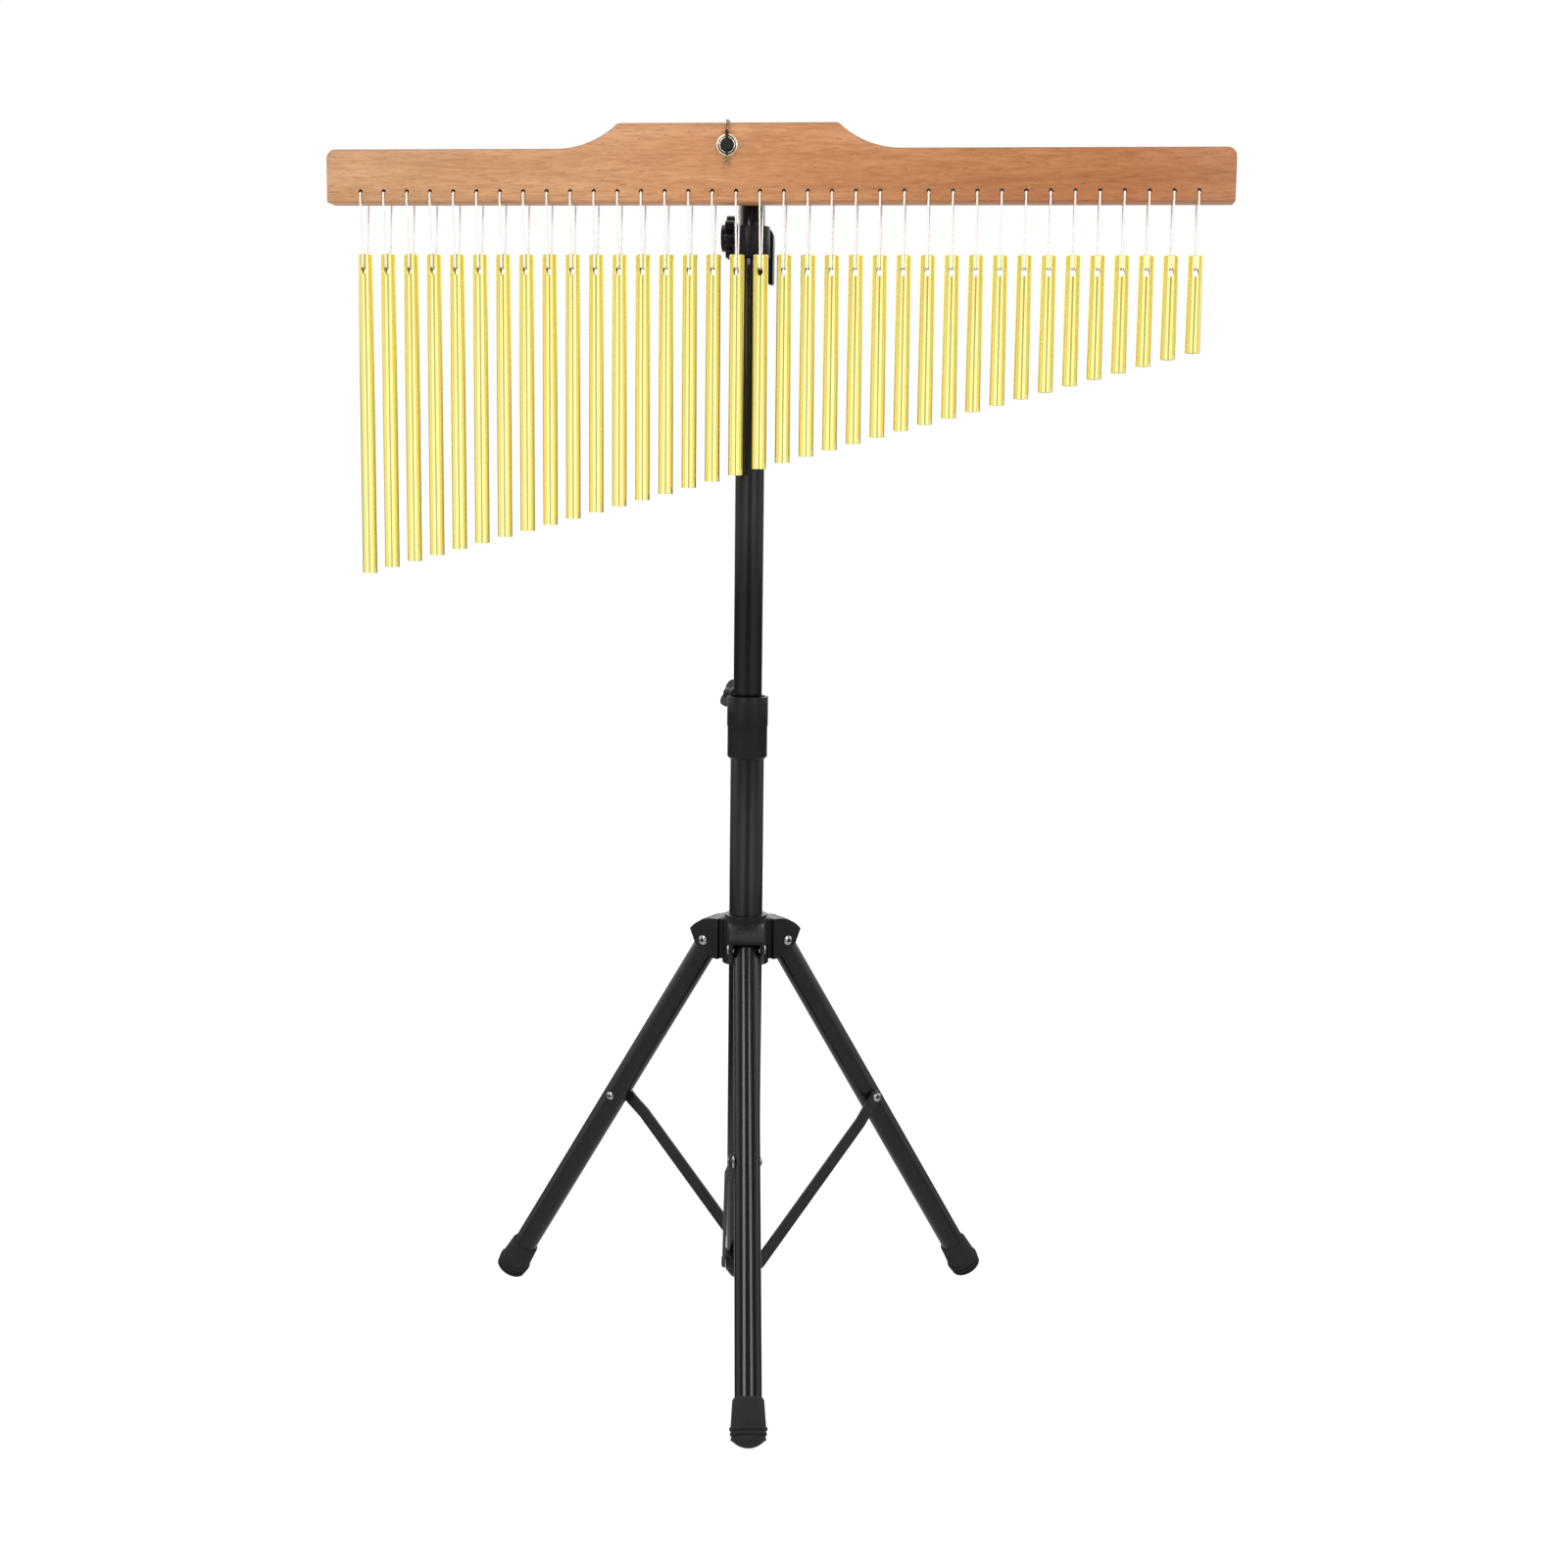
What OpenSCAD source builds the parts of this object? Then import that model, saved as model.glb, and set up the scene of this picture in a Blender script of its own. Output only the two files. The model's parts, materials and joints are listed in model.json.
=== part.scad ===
// Bar chimes: a row of tuned tubes that hang on cord loops from a shaped wooden bar.
// The bar hangs by an eyelet from a peg at the top of a folding telescopic tripod stand.
// Millimetres, +Z up. The floor is Z = 0, X = 0 is the middle of the wooden bar, and
// Y = 0 is midway between the front foot and the rearmost foot.

/* [Chimes] */
// Distance between neighbouring chimes
chime_pitch = 17.5; // [15:0.5:20]
// Outside diameter of a chime tube
chime_d = 11; // [9:0.5:12]
// Wall of a chime tube
chime_wall = 1; // [0.6:0.1:1.8]
// Length of the longest chime, at the left end
chime_long = 237; // [200:1:260]
// Length of the shortest chime, at the right end
chime_short = 69; // [50:1:100]
// Drop from the bar's underside to the tops of the chimes
chime_drop = 36.5; // [28:0.5:60]
// Distance from a chime's top end down to its cross hole
cross_down = 12; // [8:0.5:20]
// Diameter of the cross hole that the cord passes through
cross_d = 4.4; // [3:0.1:5]
// Diameter of the hanging cord
cord_d = 1.4; // [1:0.1:1.8]

/* [Wooden bar] */
// Distance from the outermost chimes to the ends of the bar
bar_margin = 25.75; // [15:0.25:40]
// Thickness of the bar, front to back
bar_t = 20; // [16:1:24]
// Height of the bar at its ends
bar_end_h = 38.5; // [30:0.5:50]
// Rise of the hump above the ends
hump_rise = 18; // [10:1:24]
// Length of the flat on top of the hump
hump_flat = 161; // [100:1:200]
// Length of the hollow sweep on each side of the hump
hump_sweep = 46; // [36:1:60]
// Rounding where a sweep meets the hump's flat
hump_round = 4; // [2:0.5:6]
// Rounding of the bar's upper corners
bar_top_r = 7; // [3:0.5:12]
// Rounding of the bar's lower corners
bar_low_r = 2; // [1:0.5:4]
// Height of the row of cord holes above the underside
hole_up = 8; // [7:0.5:12]
// Diameter of a cord hole in the bar
hole_d = 3.3; // [2.8:0.1:4]

/* [Eyelet and peg] */
// Place of the eyelet from the middle of the bar, at the balance point
eyelet_x = -33; // [-60:1:-20]
// Height of the eyelet's centre above the underside
eyelet_up = 40.5; // [36:0.5:46]
// Bore of the eyelet
eyelet_bore = 9.2; // [8:0.1:10]
// Wall of the eyelet's barrel
eyelet_wall = 0.7; // [0.5:0.1:1.2]
// Diameter of the eyelet's flanges
eyelet_flange_d = 15.6; // [14:0.1:18]
// Thickness of an eyelet flange
eyelet_flange_t = 1; // [0.6:0.1:1.4]
// Diameter of the bent peg
peg_d = 8.6; // [7.4:0.1:8.6]

/* [Stand column] */
// Place of the column's axis from the middle of the bar
column_x = -18.5; // [-22:0.5:-16]
// Distance from the column's axis forward to the middle of the bar's thickness
bar_forward = 26; // [26:1:34]
// Diameter of the lower tube
lower_d = 26; // [25.4:0.2:26.6]
// Wall of the lower tube
lower_wall = 1.4; // [1.2:0.1:1.5]
// Length of the lower tube
lower_len = 450; // [420:5:480]
// Height of the lower tube's bottom end above the floor
lower_z = 47; // [44:1:56]
// Diameter of the middle tube
middle_d = 22; // [21.8:0.1:22]
// Wall of the middle tube
middle_wall = 0.8; // [0.6:0.1:0.8]
// Length of the middle tube
middle_len = 457; // [430:1:480]
// Length of the middle tube that stands out of the lower tube
middle_out = 357.5; // [330:2.5:380]
// Diameter of the top tube
top_d = 19.8; // [19.6:0.1:19.8]
// Wall of the top tube
top_wall = 1.2; // [0.8:0.1:2]
// Length of the top tube
top_len = 393; // [300:1:400]
// Length of the top tube that stands out of the middle tube
top_out = 65.5; // [60:0.5:80]
// Distance from the top tube's upper end down to the peg
peg_down = 9.5; // [8:0.5:11]

/* [Tripod] */
// Turn of the tripod under the bar, in degrees
tripod_turn = 8; // [0:1:20]
// Lean of an opened leg from the vertical, in degrees
leg_tilt = 32.2; // [28:0.1:34]
// Diameter of a leg tube
leg_d = 19.5; // [18:0.5:20]
// Wall of a leg tube
leg_wall = 1.2; // [1:0.1:2]
// Length from a leg's pivot to the middle of its rubber foot
leg_len = 355; // [330:0.5:365]
// Distance from the column's axis to a leg's pivot
pivot_r = 30.5; // [29:0.5:34]
// Distance along a leg from its pivot to its brace
brace_at = 165; // [150:1:170]
// Width of a flat brace
brace_w = 10; // [8:0.5:12]
// Thickness of a flat brace
brace_t = 2.5; // [1.5:0.1:3]
// Diameter of a rubber foot
foot_d = 27; // [25:0.5:30]

/* [Clamps] */
// Diameter of the lower collar
collar_d = 31.5; // [30:0.5:34]
// Height of the lower collar
collar_h = 48; // [40:1:55]
// Height of the clamp band at the top of the middle tube
band_h = 20.5; // [18:0.5:24]
// Diameter of the clamp's lobed knob
knob_d = 33; // [28:1:34]
// Length of the clamp lever below its pivot
lever_len = 34.5; // [28:0.5:40]
// Reach of one wing of the collar's wing knob
wing_reach = 11; // [10:0.5:14]

/* [Hidden] */
CHIMES = 36;
SIDES = ["front", "right", "left"];
function two(n) = n < 10 ? str("0", n) : str(n);

$fn = 64;
// Overrun of a cut past the surface that it opens
cut = 1;
// Radial clearance of a running fit, such as a bolt in a lug
run_fit = 0.08;
// Gap between pieces that lie against each other but move apart
near_gap = 0.3;
// Gap between a cord and what it lies on
cord_gap = 0.15;

// Chimes and bar
row_len = chime_pitch * (CHIMES - 1);
bar_len = row_len + 2 * bar_margin;
chime_step = (chime_long - chime_short) / (CHIMES - 1);
function chime_x(i) = -row_len / 2 + (i - 1) * chime_pitch;
function chime_len(i) = chime_long - (i - 1) * chime_step;

// Column, from the floor up
lower_top = lower_z + lower_len;
middle_top = lower_top + middle_out;
top_top = middle_top + top_out;
peg_z = top_top - peg_down;
bar_z = peg_z - eyelet_up;
hole_z = bar_z + hole_up;
chime_top = bar_z - chime_drop;

// Tripod
foot_r = foot_d / 2;
// Depth of the flat that a foot stands on
foot_flat = 0.5;
foot_z = foot_r - foot_flat;
pivot_z = foot_z + leg_len * cos(leg_tilt);
foot_reach = pivot_r + leg_len * sin(leg_tilt);
azimuths = [-90 + tripod_turn, 30 + tripod_turn, 150 + tripod_turn];
column_y = foot_reach * (cos(tripod_turn) - sin(azimuths[1])) / 2;
bar_y = column_y - bar_forward;

// Base bracket
bracket_pivot_up = 8;
bracket_pivot_z = lower_z + bracket_pivot_up;
bracket_pivot_r = 6.5;
bracket_ring_wall = 0.5;
bracket_ring_d = lower_d + 2 * bracket_ring_wall;
bracket_ring_h = 16;
bracket_plug_h = 5;
bracket_plug_d = 20;
boss_face_d = 12;
boss_proud = 0.1;
boss_face = bracket_ring_d / 2 + boss_proud;
// A brace runs beside its leg, on the clockwise side seen from above, with a washer between.
// It steps away from the leg's plane below its screw, to pass the lower tube
brace_washer_d = 9;
brace_washer_h = 1.15;
brace_flat = 10;
brace_bend = 25;
brace_rivet_h = 0.6;
brace_off = leg_d / 2 + brace_washer_h + near_gap + brace_t / 2;
brace_step = boss_face + near_gap + brace_t / 2 - brace_off;
brace_dx = pivot_r + brace_at * sin(leg_tilt) - bracket_pivot_r;
brace_dz = pivot_z - brace_at * cos(leg_tilt) - bracket_pivot_z;
brace_len = norm([brace_dx, brace_dz]);
brace_tilt = atan2(brace_dx, brace_dz);

// Hub
hub_d = 36;
hub_up = 22;
hub_ring_h = 2.5;
hub_ring_d = 33;
hub_down = 16;
ear_gap = leg_d + 4 * near_gap;
ear_wall = 3.2;
ear_w = ear_gap + 2 * ear_wall;
// The ear's outline from its pivot: a domed top down to the nose, and an end square to the open leg
ear_dome_r = 27.4;
ear_dome = [-9, -9.3];
ear_nose_a = 40;
ear_low = -14;
ear_end = [[-8, -13.4], [7.4, -2.8]];
// The narrower root that joins an ear to the barrel
ear_fold = 13;
ear_lap = 2.5;
root_w = 22;
root_low = -13.5;
root_rise = [17.6, 19];
// Room round the leg's top in its slot, and the lip of the web that closes it
leg_top_gap = 1;
slot_gap = 0.5;
slot_in = pivot_r - leg_d / 2 - slot_gap;
lip_up = 6;

// Bolts and screws
bolt_d = 5;
bolt_head_d = 7.4;
bolt_head_h = 2.2;
brace_screw_d = 6.4;
brace_screw_h = 1.4;
brace_screw_low = 0.7;

// Feet
foot_up = 21;
foot_top_r = 11.4;
foot_lip_r = 10.6;
foot_lip_h = 1.5;
foot_floor = 4;
// The shallow dome under a foot, and the stepped ribs above it
foot_dome_r = 15.7;
foot_dome_up = 2.7;
foot_dome_edge = -43;
foot_rib_low = -8;
foot_rib_h = 2.2;
foot_groove_h = 1.2;
foot_groove = 0.9;
foot_rib_r = [12.5, 13, foot_r];

// Lower collar
collar_over = 8.7;
collar_z = lower_top + collar_over - collar_h;
collar_split = 25;
collar_step = 0.4;
collar_chamfer = 1.6;
collar_well_d = 27;
collar_well_h = 1.5;
boss_azimuth = 135;
boss_d = 11;
boss_out = 1;
boss_up = 9;
boss_z = lower_top + boss_up;
stud_d = 5;
wing_hub_d = 9;
wing_hub_h = 8;
wing_t = 3.4;
wing_h = 11.5;
wing_tilt = -62;

// Clamp at the top of the middle tube
band_wall = 2.5;
band_r = middle_d / 2 + band_wall;
band_z = middle_top - band_h;
band_rim_h = 2;
clamp_up = 6.2;
clamp_z = band_z + band_h / 2 + clamp_up;
clamp_back = 20;
clamp_ear_t = 4.25;
clamp_ear_gap = 2.5;
clamp_ear_x = -6;
clamp_ear_h = 13;
clamp_ear_out = 5.5;
barrel_r = 6;
barrel_len = 7.6;
barrel_pin_d = 6;
barrel_x = clamp_ear_x + clamp_ear_gap / 2 + clamp_ear_t + barrel_r;
lever_gap = 1;
lever_wall = 2;
lever_t = 4;
// Angle above the horizontal at which the lever's curl ends
lever_wrap = 50;
knob_neck_d = 12;
knob_neck_h = 2.4;
knob_h = 7;
knob_boss_d = 20;
knob_boss_h = 3.6;
knob_lobes = 7;
knob_lobe_d = 9;

// Peg, pin and chain
peg_bend_r = 5;
peg_back = 3;
peg_nose = 5.6;
pin_d = 2.4;
pin_up = 6.8;
pin_low = 6.5;
pin_gap = 0.5;
bead_d = 3.2;
bead_pitch = 4.8;
bead_wire_d = 1;
bead_seat = 0.5;
peg_ring_wire_d = 1.4;
peg_ring_r = (peg_d + peg_ring_wire_d) / 2 + near_gap;

bar_front = bar_y - bar_t / 2;
bar_back = bar_y + bar_t / 2;
pin_y = bar_front - eyelet_flange_t - pin_gap - pin_d / 2;

// Points on an arc about c from angle a to angle b
function arc(c, r, a, b, n = 16) =
  [for (k = [0:n]) let (t = a + (b - a) * k / n) c + r * [cos(t), sin(t)]];

module tube(d, wall, h) {
  difference() {
    cylinder(d = d, h = h);
    translate([0, 0, -cut]) cylinder(d = d - 2 * wall, h = h + 2 * cut);
  }
}

// A round rod from a to b
module rod(a, b, d) {
  v = b - a;
  translate(a) rotate([0, acos(v[2] / norm(v)), atan2(v[1], v[0])]) cylinder(d = d, h = norm(v), $fn = 24);
}

module at_column(z) { translate([column_x, column_y, z]) children(); }

// Frame of leg i: X outward from the column, Z up, origin at the leg's pivot
module at_pivot(i) {
  at_column(pivot_z) rotate([0, 0, azimuths[i]]) translate([pivot_r, 0, 0]) children();
}

// Frame along leg i: -Z runs down the leg
module at_leg(i) { at_pivot(i) rotate([0, -leg_tilt, 0]) children(); }

// A cylinder across a leg's plane, centred on it
module across(d, h) { rotate([90, 0, 0]) cylinder(d = d, h = h, center = true); }

// A bolt across a leg's plane with a round head at each end of its grip
module cross_bolt(grip) {
  across(bolt_d, grip + 2 * bolt_head_h);
  for (s = [-1, 1]) translate([0, s * (grip + bolt_head_h) / 2, 0])
    across(bolt_head_d, bolt_head_h);
}

module lower_tube() {
  color("#262626") at_column(lower_z) tube(lower_d, lower_wall, lower_len);
}

module base_bracket() {
  color("#1c1c1c") difference() {
    union() {
      at_column(lower_z) cylinder(d = bracket_ring_d, h = bracket_ring_h);
      at_column(lower_z - bracket_plug_h)
        cylinder(d1 = bracket_plug_d, d2 = bracket_ring_d, h = bracket_plug_h);
      for (i = [0:2]) at_column(bracket_pivot_z) rotate([0, 0, azimuths[i]])
        translate([bracket_pivot_r, 0, 0]) rotate([90, 0, 0]) cylinder(d = boss_face_d, h = boss_face);
    }
    at_column(lower_z) cylinder(d = lower_d, h = bracket_ring_h + cut);
  }
}

module leg_hub() {
  color("#1e1e1e") difference() {
    union() {
      at_column(pivot_z - hub_down) cylinder(d = hub_d, h = hub_down + hub_up - hub_ring_h);
      at_column(pivot_z + hub_up - hub_ring_h) cylinder(d = hub_ring_d, h = hub_ring_h);
      for (i = [0:2]) at_pivot(i) rotate([90, 0, 0]) {
        linear_extrude(ear_w, center = true) ear_outline();
        linear_extrude(root_w, center = true) root_outline();
      }
    }
    at_column(pivot_z - hub_down - cut)
      cylinder(d = lower_d + 2 * run_fit, h = hub_down + hub_up + 2 * cut);
    for (i = [0:2]) at_pivot(i) {
      translate([slot_in - pivot_r, -ear_gap / 2, -hub_down - cut])
        cube([pivot_r - slot_in + leg_d, ear_gap, hub_down + cut + lip_up]);
      across(leg_d + 2 * leg_top_gap, ear_gap);
      across(bolt_d, ear_w + 2 * cut);
    }
  }
}

module ear_outline() {
  top = ear_dome[1] + ear_dome_r;
  polygon(concat(
    [[-ear_fold, ear_low]], ear_end, arc(ear_dome, ear_dome_r, ear_nose_a, 90, 10), [[-ear_fold, top]]
  ));
}

module root_outline() {
  lap = ear_lap - ear_fold;
  polygon([[-pivot_r, root_low], [lap, root_low], [lap, root_rise[0]], [-pivot_r, root_rise[1]]]);
}

module hub_bolts() {
  color("silver") for (i = [0:2]) at_pivot(i) cross_bolt(ear_w);
}

// A leg is a tube with a round plug at its pivot and a screw that carries its brace
module leg(i) {
  leg_end = leg_len - foot_floor;
  color("#262626") at_leg(i) difference() {
    union() {
      translate([0, 0, -leg_end]) cylinder(d = leg_d, h = leg_end);
      across(leg_d, leg_d);
    }
    translate([0, 0, -leg_end - cut])
      cylinder(d = leg_d - 2 * leg_wall, h = leg_end + cut - leg_d / 2 - leg_wall);
    across(bolt_d + 2 * run_fit, leg_d + 2 * cut);
    translate([0, 0, -brace_at]) across(bolt_d, leg_d + 2 * cut);
  }
  screw_out = brace_off + brace_t / 2 + near_gap;
  color("silver") at_leg(i) translate([0, 0, -brace_at]) {
    translate([0, (leg_d / 2 - screw_out) / 2, 0]) across(bolt_d, screw_out + leg_d / 2);
    translate([0, -(leg_d + brace_washer_h) / 2, 0]) across(brace_washer_d, brace_washer_h);
    translate([0, -screw_out - brace_screw_low / 2, 0]) across(bolt_head_d, brace_screw_low);
    translate([0, (leg_d + brace_screw_h) / 2, 0]) across(brace_screw_d, brace_screw_h);
  }
}

// A ribbed rubber cap whose domed end is cut flat where it stands
module foot(i) {
  color("#181818") difference() {
    at_leg(i) translate([0, 0, -leg_len]) rotate_extrude() foot_outline();
    at_leg(i) translate([0, 0, foot_floor - leg_len]) cylinder(d = leg_d, h = foot_up + cut);
    at_column(-foot_d) cylinder(r = foot_reach + foot_d, h = foot_d);
  }
}

// Half of the cap's section: its dome, three ribs with grooves between, and its shoulder
module foot_outline() {
  pitch = foot_rib_h + foot_groove_h;
  difference() {
    polygon(concat(
      arc([0, foot_dome_up], foot_dome_r, -90, foot_dome_edge, 10),
      [for (k = [0:2]) for (z = [0, foot_rib_h]) [foot_rib_r[k], foot_rib_low + k * pitch + z]],
      [[foot_top_r, foot_up - foot_lip_h], [foot_lip_r, foot_up], [0, foot_up]]
    ));
    for (k = [0:1]) translate([foot_rib_r[k] - foot_groove, foot_rib_low + k * pitch + foot_rib_h])
      square([foot_d, foot_groove_h]);
  }
}

// A flat brace with a step in it, and the open end of the linkage at its lower rivet
module brace(i) {
  color("#3a3a3a") at_leg(i) translate([0, -brace_off, -brace_at])
    rotate([0, leg_tilt + brace_tilt, 0]) {
      intersection() {
        rotate([90, 0, 0]) linear_extrude(2 * (brace_step + brace_t), center = true) brace_face();
        rotate([90, 0, 90]) linear_extrude(2 * brace_w, center = true) brace_edge();
      }
      translate([0, -brace_step - (brace_t + brace_rivet_h) / 2, -brace_len])
        across(bolt_head_d, brace_rivet_h);
    }
}

// The brace seen on its face
module brace_face() {
  difference() {
    union() {
      for (z = [0, -brace_len]) translate([0, z]) circle(d = brace_w, $fn = 32);
      translate([-brace_w / 2, -brace_len]) square([brace_w, brace_len]);
    }
    circle(d = bolt_d + 2 * run_fit);
  }
}

// The brace seen on its edge
module brace_edge() {
  line = [[0, brace_w], [0, -brace_flat], [-brace_step, -brace_bend], [-brace_step, -brace_len - brace_w]];
  polygon(concat(
    [for (p = line) [p[0] + brace_t / 2, p[1]]],
    [for (k = [len(line) - 1:-1:0]) [line[k][0] - brace_t / 2, line[k][1]]]
  ));
}

module lower_collar() {
  split_z = collar_z + collar_split;
  lower_part_d = collar_d - 2 * collar_step;
  color("#202020") difference() {
    union() {
      at_column(collar_z)
        cylinder(d1 = lower_part_d - 2 * collar_chamfer, d2 = lower_part_d, h = collar_chamfer);
      at_column(collar_z + collar_chamfer) cylinder(d = lower_part_d, h = collar_split - collar_chamfer);
      at_column(split_z) cylinder(d = collar_d, h = collar_h - collar_split);
      at_column(boss_z) rotate([0, 90, boss_azimuth]) cylinder(d = boss_d, h = collar_d / 2 + boss_out);
    }
    at_column(collar_z - cut) cylinder(d = lower_d, h = lower_top - collar_z + cut);
    at_column(collar_z) cylinder(d = middle_d + 2 * near_gap, h = collar_h + boss_d);
    at_column(collar_z + collar_h - collar_well_h) cylinder(d = collar_well_d, h = collar_well_h + boss_d);
    at_column(boss_z) rotate([0, 90, boss_azimuth])
      cylinder(d = stud_d + 2 * run_fit, h = collar_d / 2 + boss_out + cut);
  }
}

// A wing knob on a stud that screws in towards the column
module collar_knob() {
  face = collar_d / 2 + boss_out + near_gap;
  stud_in = middle_d / 2 + near_gap;
  color("#1a1a1a") at_column(boss_z) rotate([0, 0, boss_azimuth]) rotate([wing_tilt, 0, 0])
    rotate([0, 90, 0]) {
      translate([0, 0, stud_in]) cylinder(d = stud_d, h = face - stud_in + wing_hub_h);
      translate([0, 0, face]) cylinder(d = wing_hub_d, h = wing_hub_h);
      translate([-wing_t / 2, 0, face + wing_h / 2]) rotate([0, 90, 0])
        linear_extrude(wing_t) wing_outline();
    }
}

module wing_outline() {
  for (s = [-1, 1]) translate([0, s * (wing_reach - wing_h / 2)]) circle(d = wing_h);
  translate([-wing_t, -wing_reach + wing_h / 2]) square([2 * wing_t, 2 * wing_reach - wing_h]);
}

module middle_tube() {
  color("#262626") at_column(middle_top - middle_len) tube(middle_d, middle_wall, middle_len);
}

// A split band with two ears behind the tube, its rim and the barrel that holds the bolt
module clamp_collar() {
  ear_in = clamp_ear_x - clamp_ear_gap / 2 - clamp_ear_t;
  ear_len = clamp_back + clamp_ear_out - middle_d / 2;
  color("#1c1c1c") difference() {
    union() {
      at_column(band_z) cylinder(r = band_r, h = band_h + band_rim_h);
      at_column(clamp_z - clamp_ear_h / 2) translate([ear_in, middle_d / 2 - band_wall, 0])
        cube([2 * clamp_ear_t + clamp_ear_gap, ear_len + band_wall, clamp_ear_h]);
    }
    at_column(band_z - cut) cylinder(r = middle_d / 2 + run_fit, h = band_h + cut);
    at_column(band_z) cylinder(r = top_d / 2 + run_fit, h = band_h + band_rim_h + cut);
    at_column(band_z - cut) translate([clamp_ear_x - clamp_ear_gap / 2, 0, 0])
      cube([clamp_ear_gap, clamp_back + clamp_ear_out + cut, band_h + band_rim_h + 2 * cut]);
    clamp_bolt_line(bolt_d + 2 * run_fit);
  }
  color("silver") difference() {
    at_column(clamp_z) translate([barrel_x, clamp_back, 0]) {
      across(2 * barrel_r, barrel_len);
      across(barrel_pin_d, barrel_len + 2 * near_gap + 2 * lever_wall);
    }
    clamp_bolt_line(bolt_d + 2 * run_fit);
  }
}

// The line of the clamp's bolt, along X behind the tube, ending inside the barrel
module clamp_bolt_line(d) {
  at_column(clamp_z) translate([barrel_x, clamp_back, 0]) rotate([0, -90, 0])
    cylinder(d = d, h = barrel_x - clamp_ear_x + clamp_ear_gap / 2 + clamp_ear_t + cut);
}

module clamp_knob() {
  face = clamp_ear_x - clamp_ear_gap / 2 - clamp_ear_t - near_gap;
  color("#1a1a1a") at_column(clamp_z) translate([face, clamp_back, 0]) rotate([0, -90, 0]) {
    translate([0, 0, face - barrel_x + near_gap]) cylinder(d = bolt_d, h = barrel_x - face - near_gap + cut);
    cylinder(d = knob_neck_d, h = knob_neck_h + cut);
    translate([0, 0, knob_neck_h]) linear_extrude(knob_h) {
      circle(d = knob_d - knob_lobe_d);
      for (k = [0:knob_lobes - 1]) rotate(k * 360 / knob_lobes)
        translate([(knob_d - knob_lobe_d) / 2, 0]) circle(d = knob_lobe_d, $fn = 32);
    }
    translate([0, 0, knob_neck_h + knob_h]) cylinder(d = knob_boss_d, h = knob_boss_h);
  }
}

// A forked cam lever that hangs beside the column and curls part of the way round the barrel
module clamp_lever() {
  slot_w = barrel_len + 2 * near_gap;
  fork_w = slot_w + 2 * lever_wall;
  slot_r = barrel_r + lever_gap;
  outer_r = slot_r + lever_wall;
  color("#1a1a1a") at_column(clamp_z) translate([barrel_x, clamp_back, 0]) difference() {
    rotate([90, 0, 0]) linear_extrude(fork_w, center = true) {
      circle(r = barrel_r - near_gap);
      intersection() {
        circle(r = outer_r);
        polygon(2 * outer_r * [[0, 0], [0, -1], [1, -1], [cos(lever_wrap), sin(lever_wrap)]]);
      }
      translate([outer_r - lever_t, -lever_len + lever_t / 2]) square([lever_t, lever_len - lever_t / 2]);
      translate([outer_r - lever_t / 2, -lever_len + lever_t / 2]) circle(d = lever_t);
    }
    across(2 * slot_r, slot_w);
    across(barrel_pin_d + 2 * run_fit, fork_w + 2 * cut);
  }
}

module top_tube() {
  color("#262626") difference() {
    union() {
      at_column(top_top - top_len) tube(top_d, top_wall, top_len);
      at_column(top_top - top_wall) cylinder(d = top_d, h = top_wall);
    }
    at_column(peg_z) translate([-top_d, 0, 0]) rotate([0, 90, 0])
      cylinder(d = peg_d + 2 * run_fit, h = 2 * top_d);
  }
}

// A round peg through the top tube that bends forward and passes through the eyelet
module hook_peg() {
  bend_x = eyelet_x + peg_bend_r;
  right_x = column_x + top_d / 2 + peg_back;
  color("#202020") {
    translate([0, 0, peg_z]) difference() {
      union() {
        translate([bend_x, column_y, 0]) rotate([0, 90, 0]) cylinder(d = peg_d, h = right_x - bend_x);
        translate([bend_x, column_y - peg_bend_r, 0]) rotate([0, 0, 90])
          rotate_extrude(angle = 90) translate([peg_bend_r, 0]) circle(d = peg_d);
        translate([eyelet_x, pin_y - peg_nose + pin_d, 0]) rotate([-90, 0, 0])
          cylinder(d = peg_d, h = column_y - peg_bend_r - pin_y + peg_nose - pin_d);
      }
      translate([eyelet_x, pin_y, -peg_d]) cylinder(d = pin_d + 2 * run_fit, h = 2 * peg_d);
    }
  }
}

// The chain's path from the pin over the bar to the peg behind it, as distances from the
// peg's axis: up the front, over a corner, along the top, over a corner, down the back
chain_out = bar_front - pin_y;
bar_above = bar_end_h + hump_rise - eyelet_up;
chain_first_z = pin_up + bead_pitch / 2;
chain_last_z = peg_ring_r + bead_pitch / 2;
chain_front = bar_above - chain_first_z;
chain_back = bar_above - chain_last_z;
chain_bend = chain_out * PI / 2;
chain_len = chain_front + chain_back + bar_t + 2 * chain_bend;
chain_gaps = round(chain_len / bead_pitch);
// Two beads that hang below the pin
tail_z = [-pin_low - bead_pitch / 2, -pin_low - 3 * bead_pitch / 2];

// Place of the chain at distance s along its path
function chain_at(s) =
  s < chain_front ? [0, pin_y, chain_first_z + s]
  : s < chain_front + chain_bend ? chain_corner(bar_front, (s - chain_front) / chain_bend * 90)
  : s < chain_front + chain_bend + bar_t
  ? [0, bar_front + s - chain_front - chain_bend, bar_above + chain_out]
  : s < chain_len - chain_back
  ? chain_corner(bar_back, 90 + (s - chain_front - chain_bend - bar_t) / chain_bend * 90)
  : [0, bar_back + chain_out, bar_above - (s - chain_len + chain_back)];
function chain_corner(y, a) = [0, y - chain_out * cos(a), bar_above + chain_out * sin(a)];

// The wire between two beads, which ends inside them
module bead_link(a, b) {
  v = (b - a) / norm(b - a) * (bead_d / 2 - bead_seat);
  rod(a + v, b - v, bead_wire_d);
}

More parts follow.
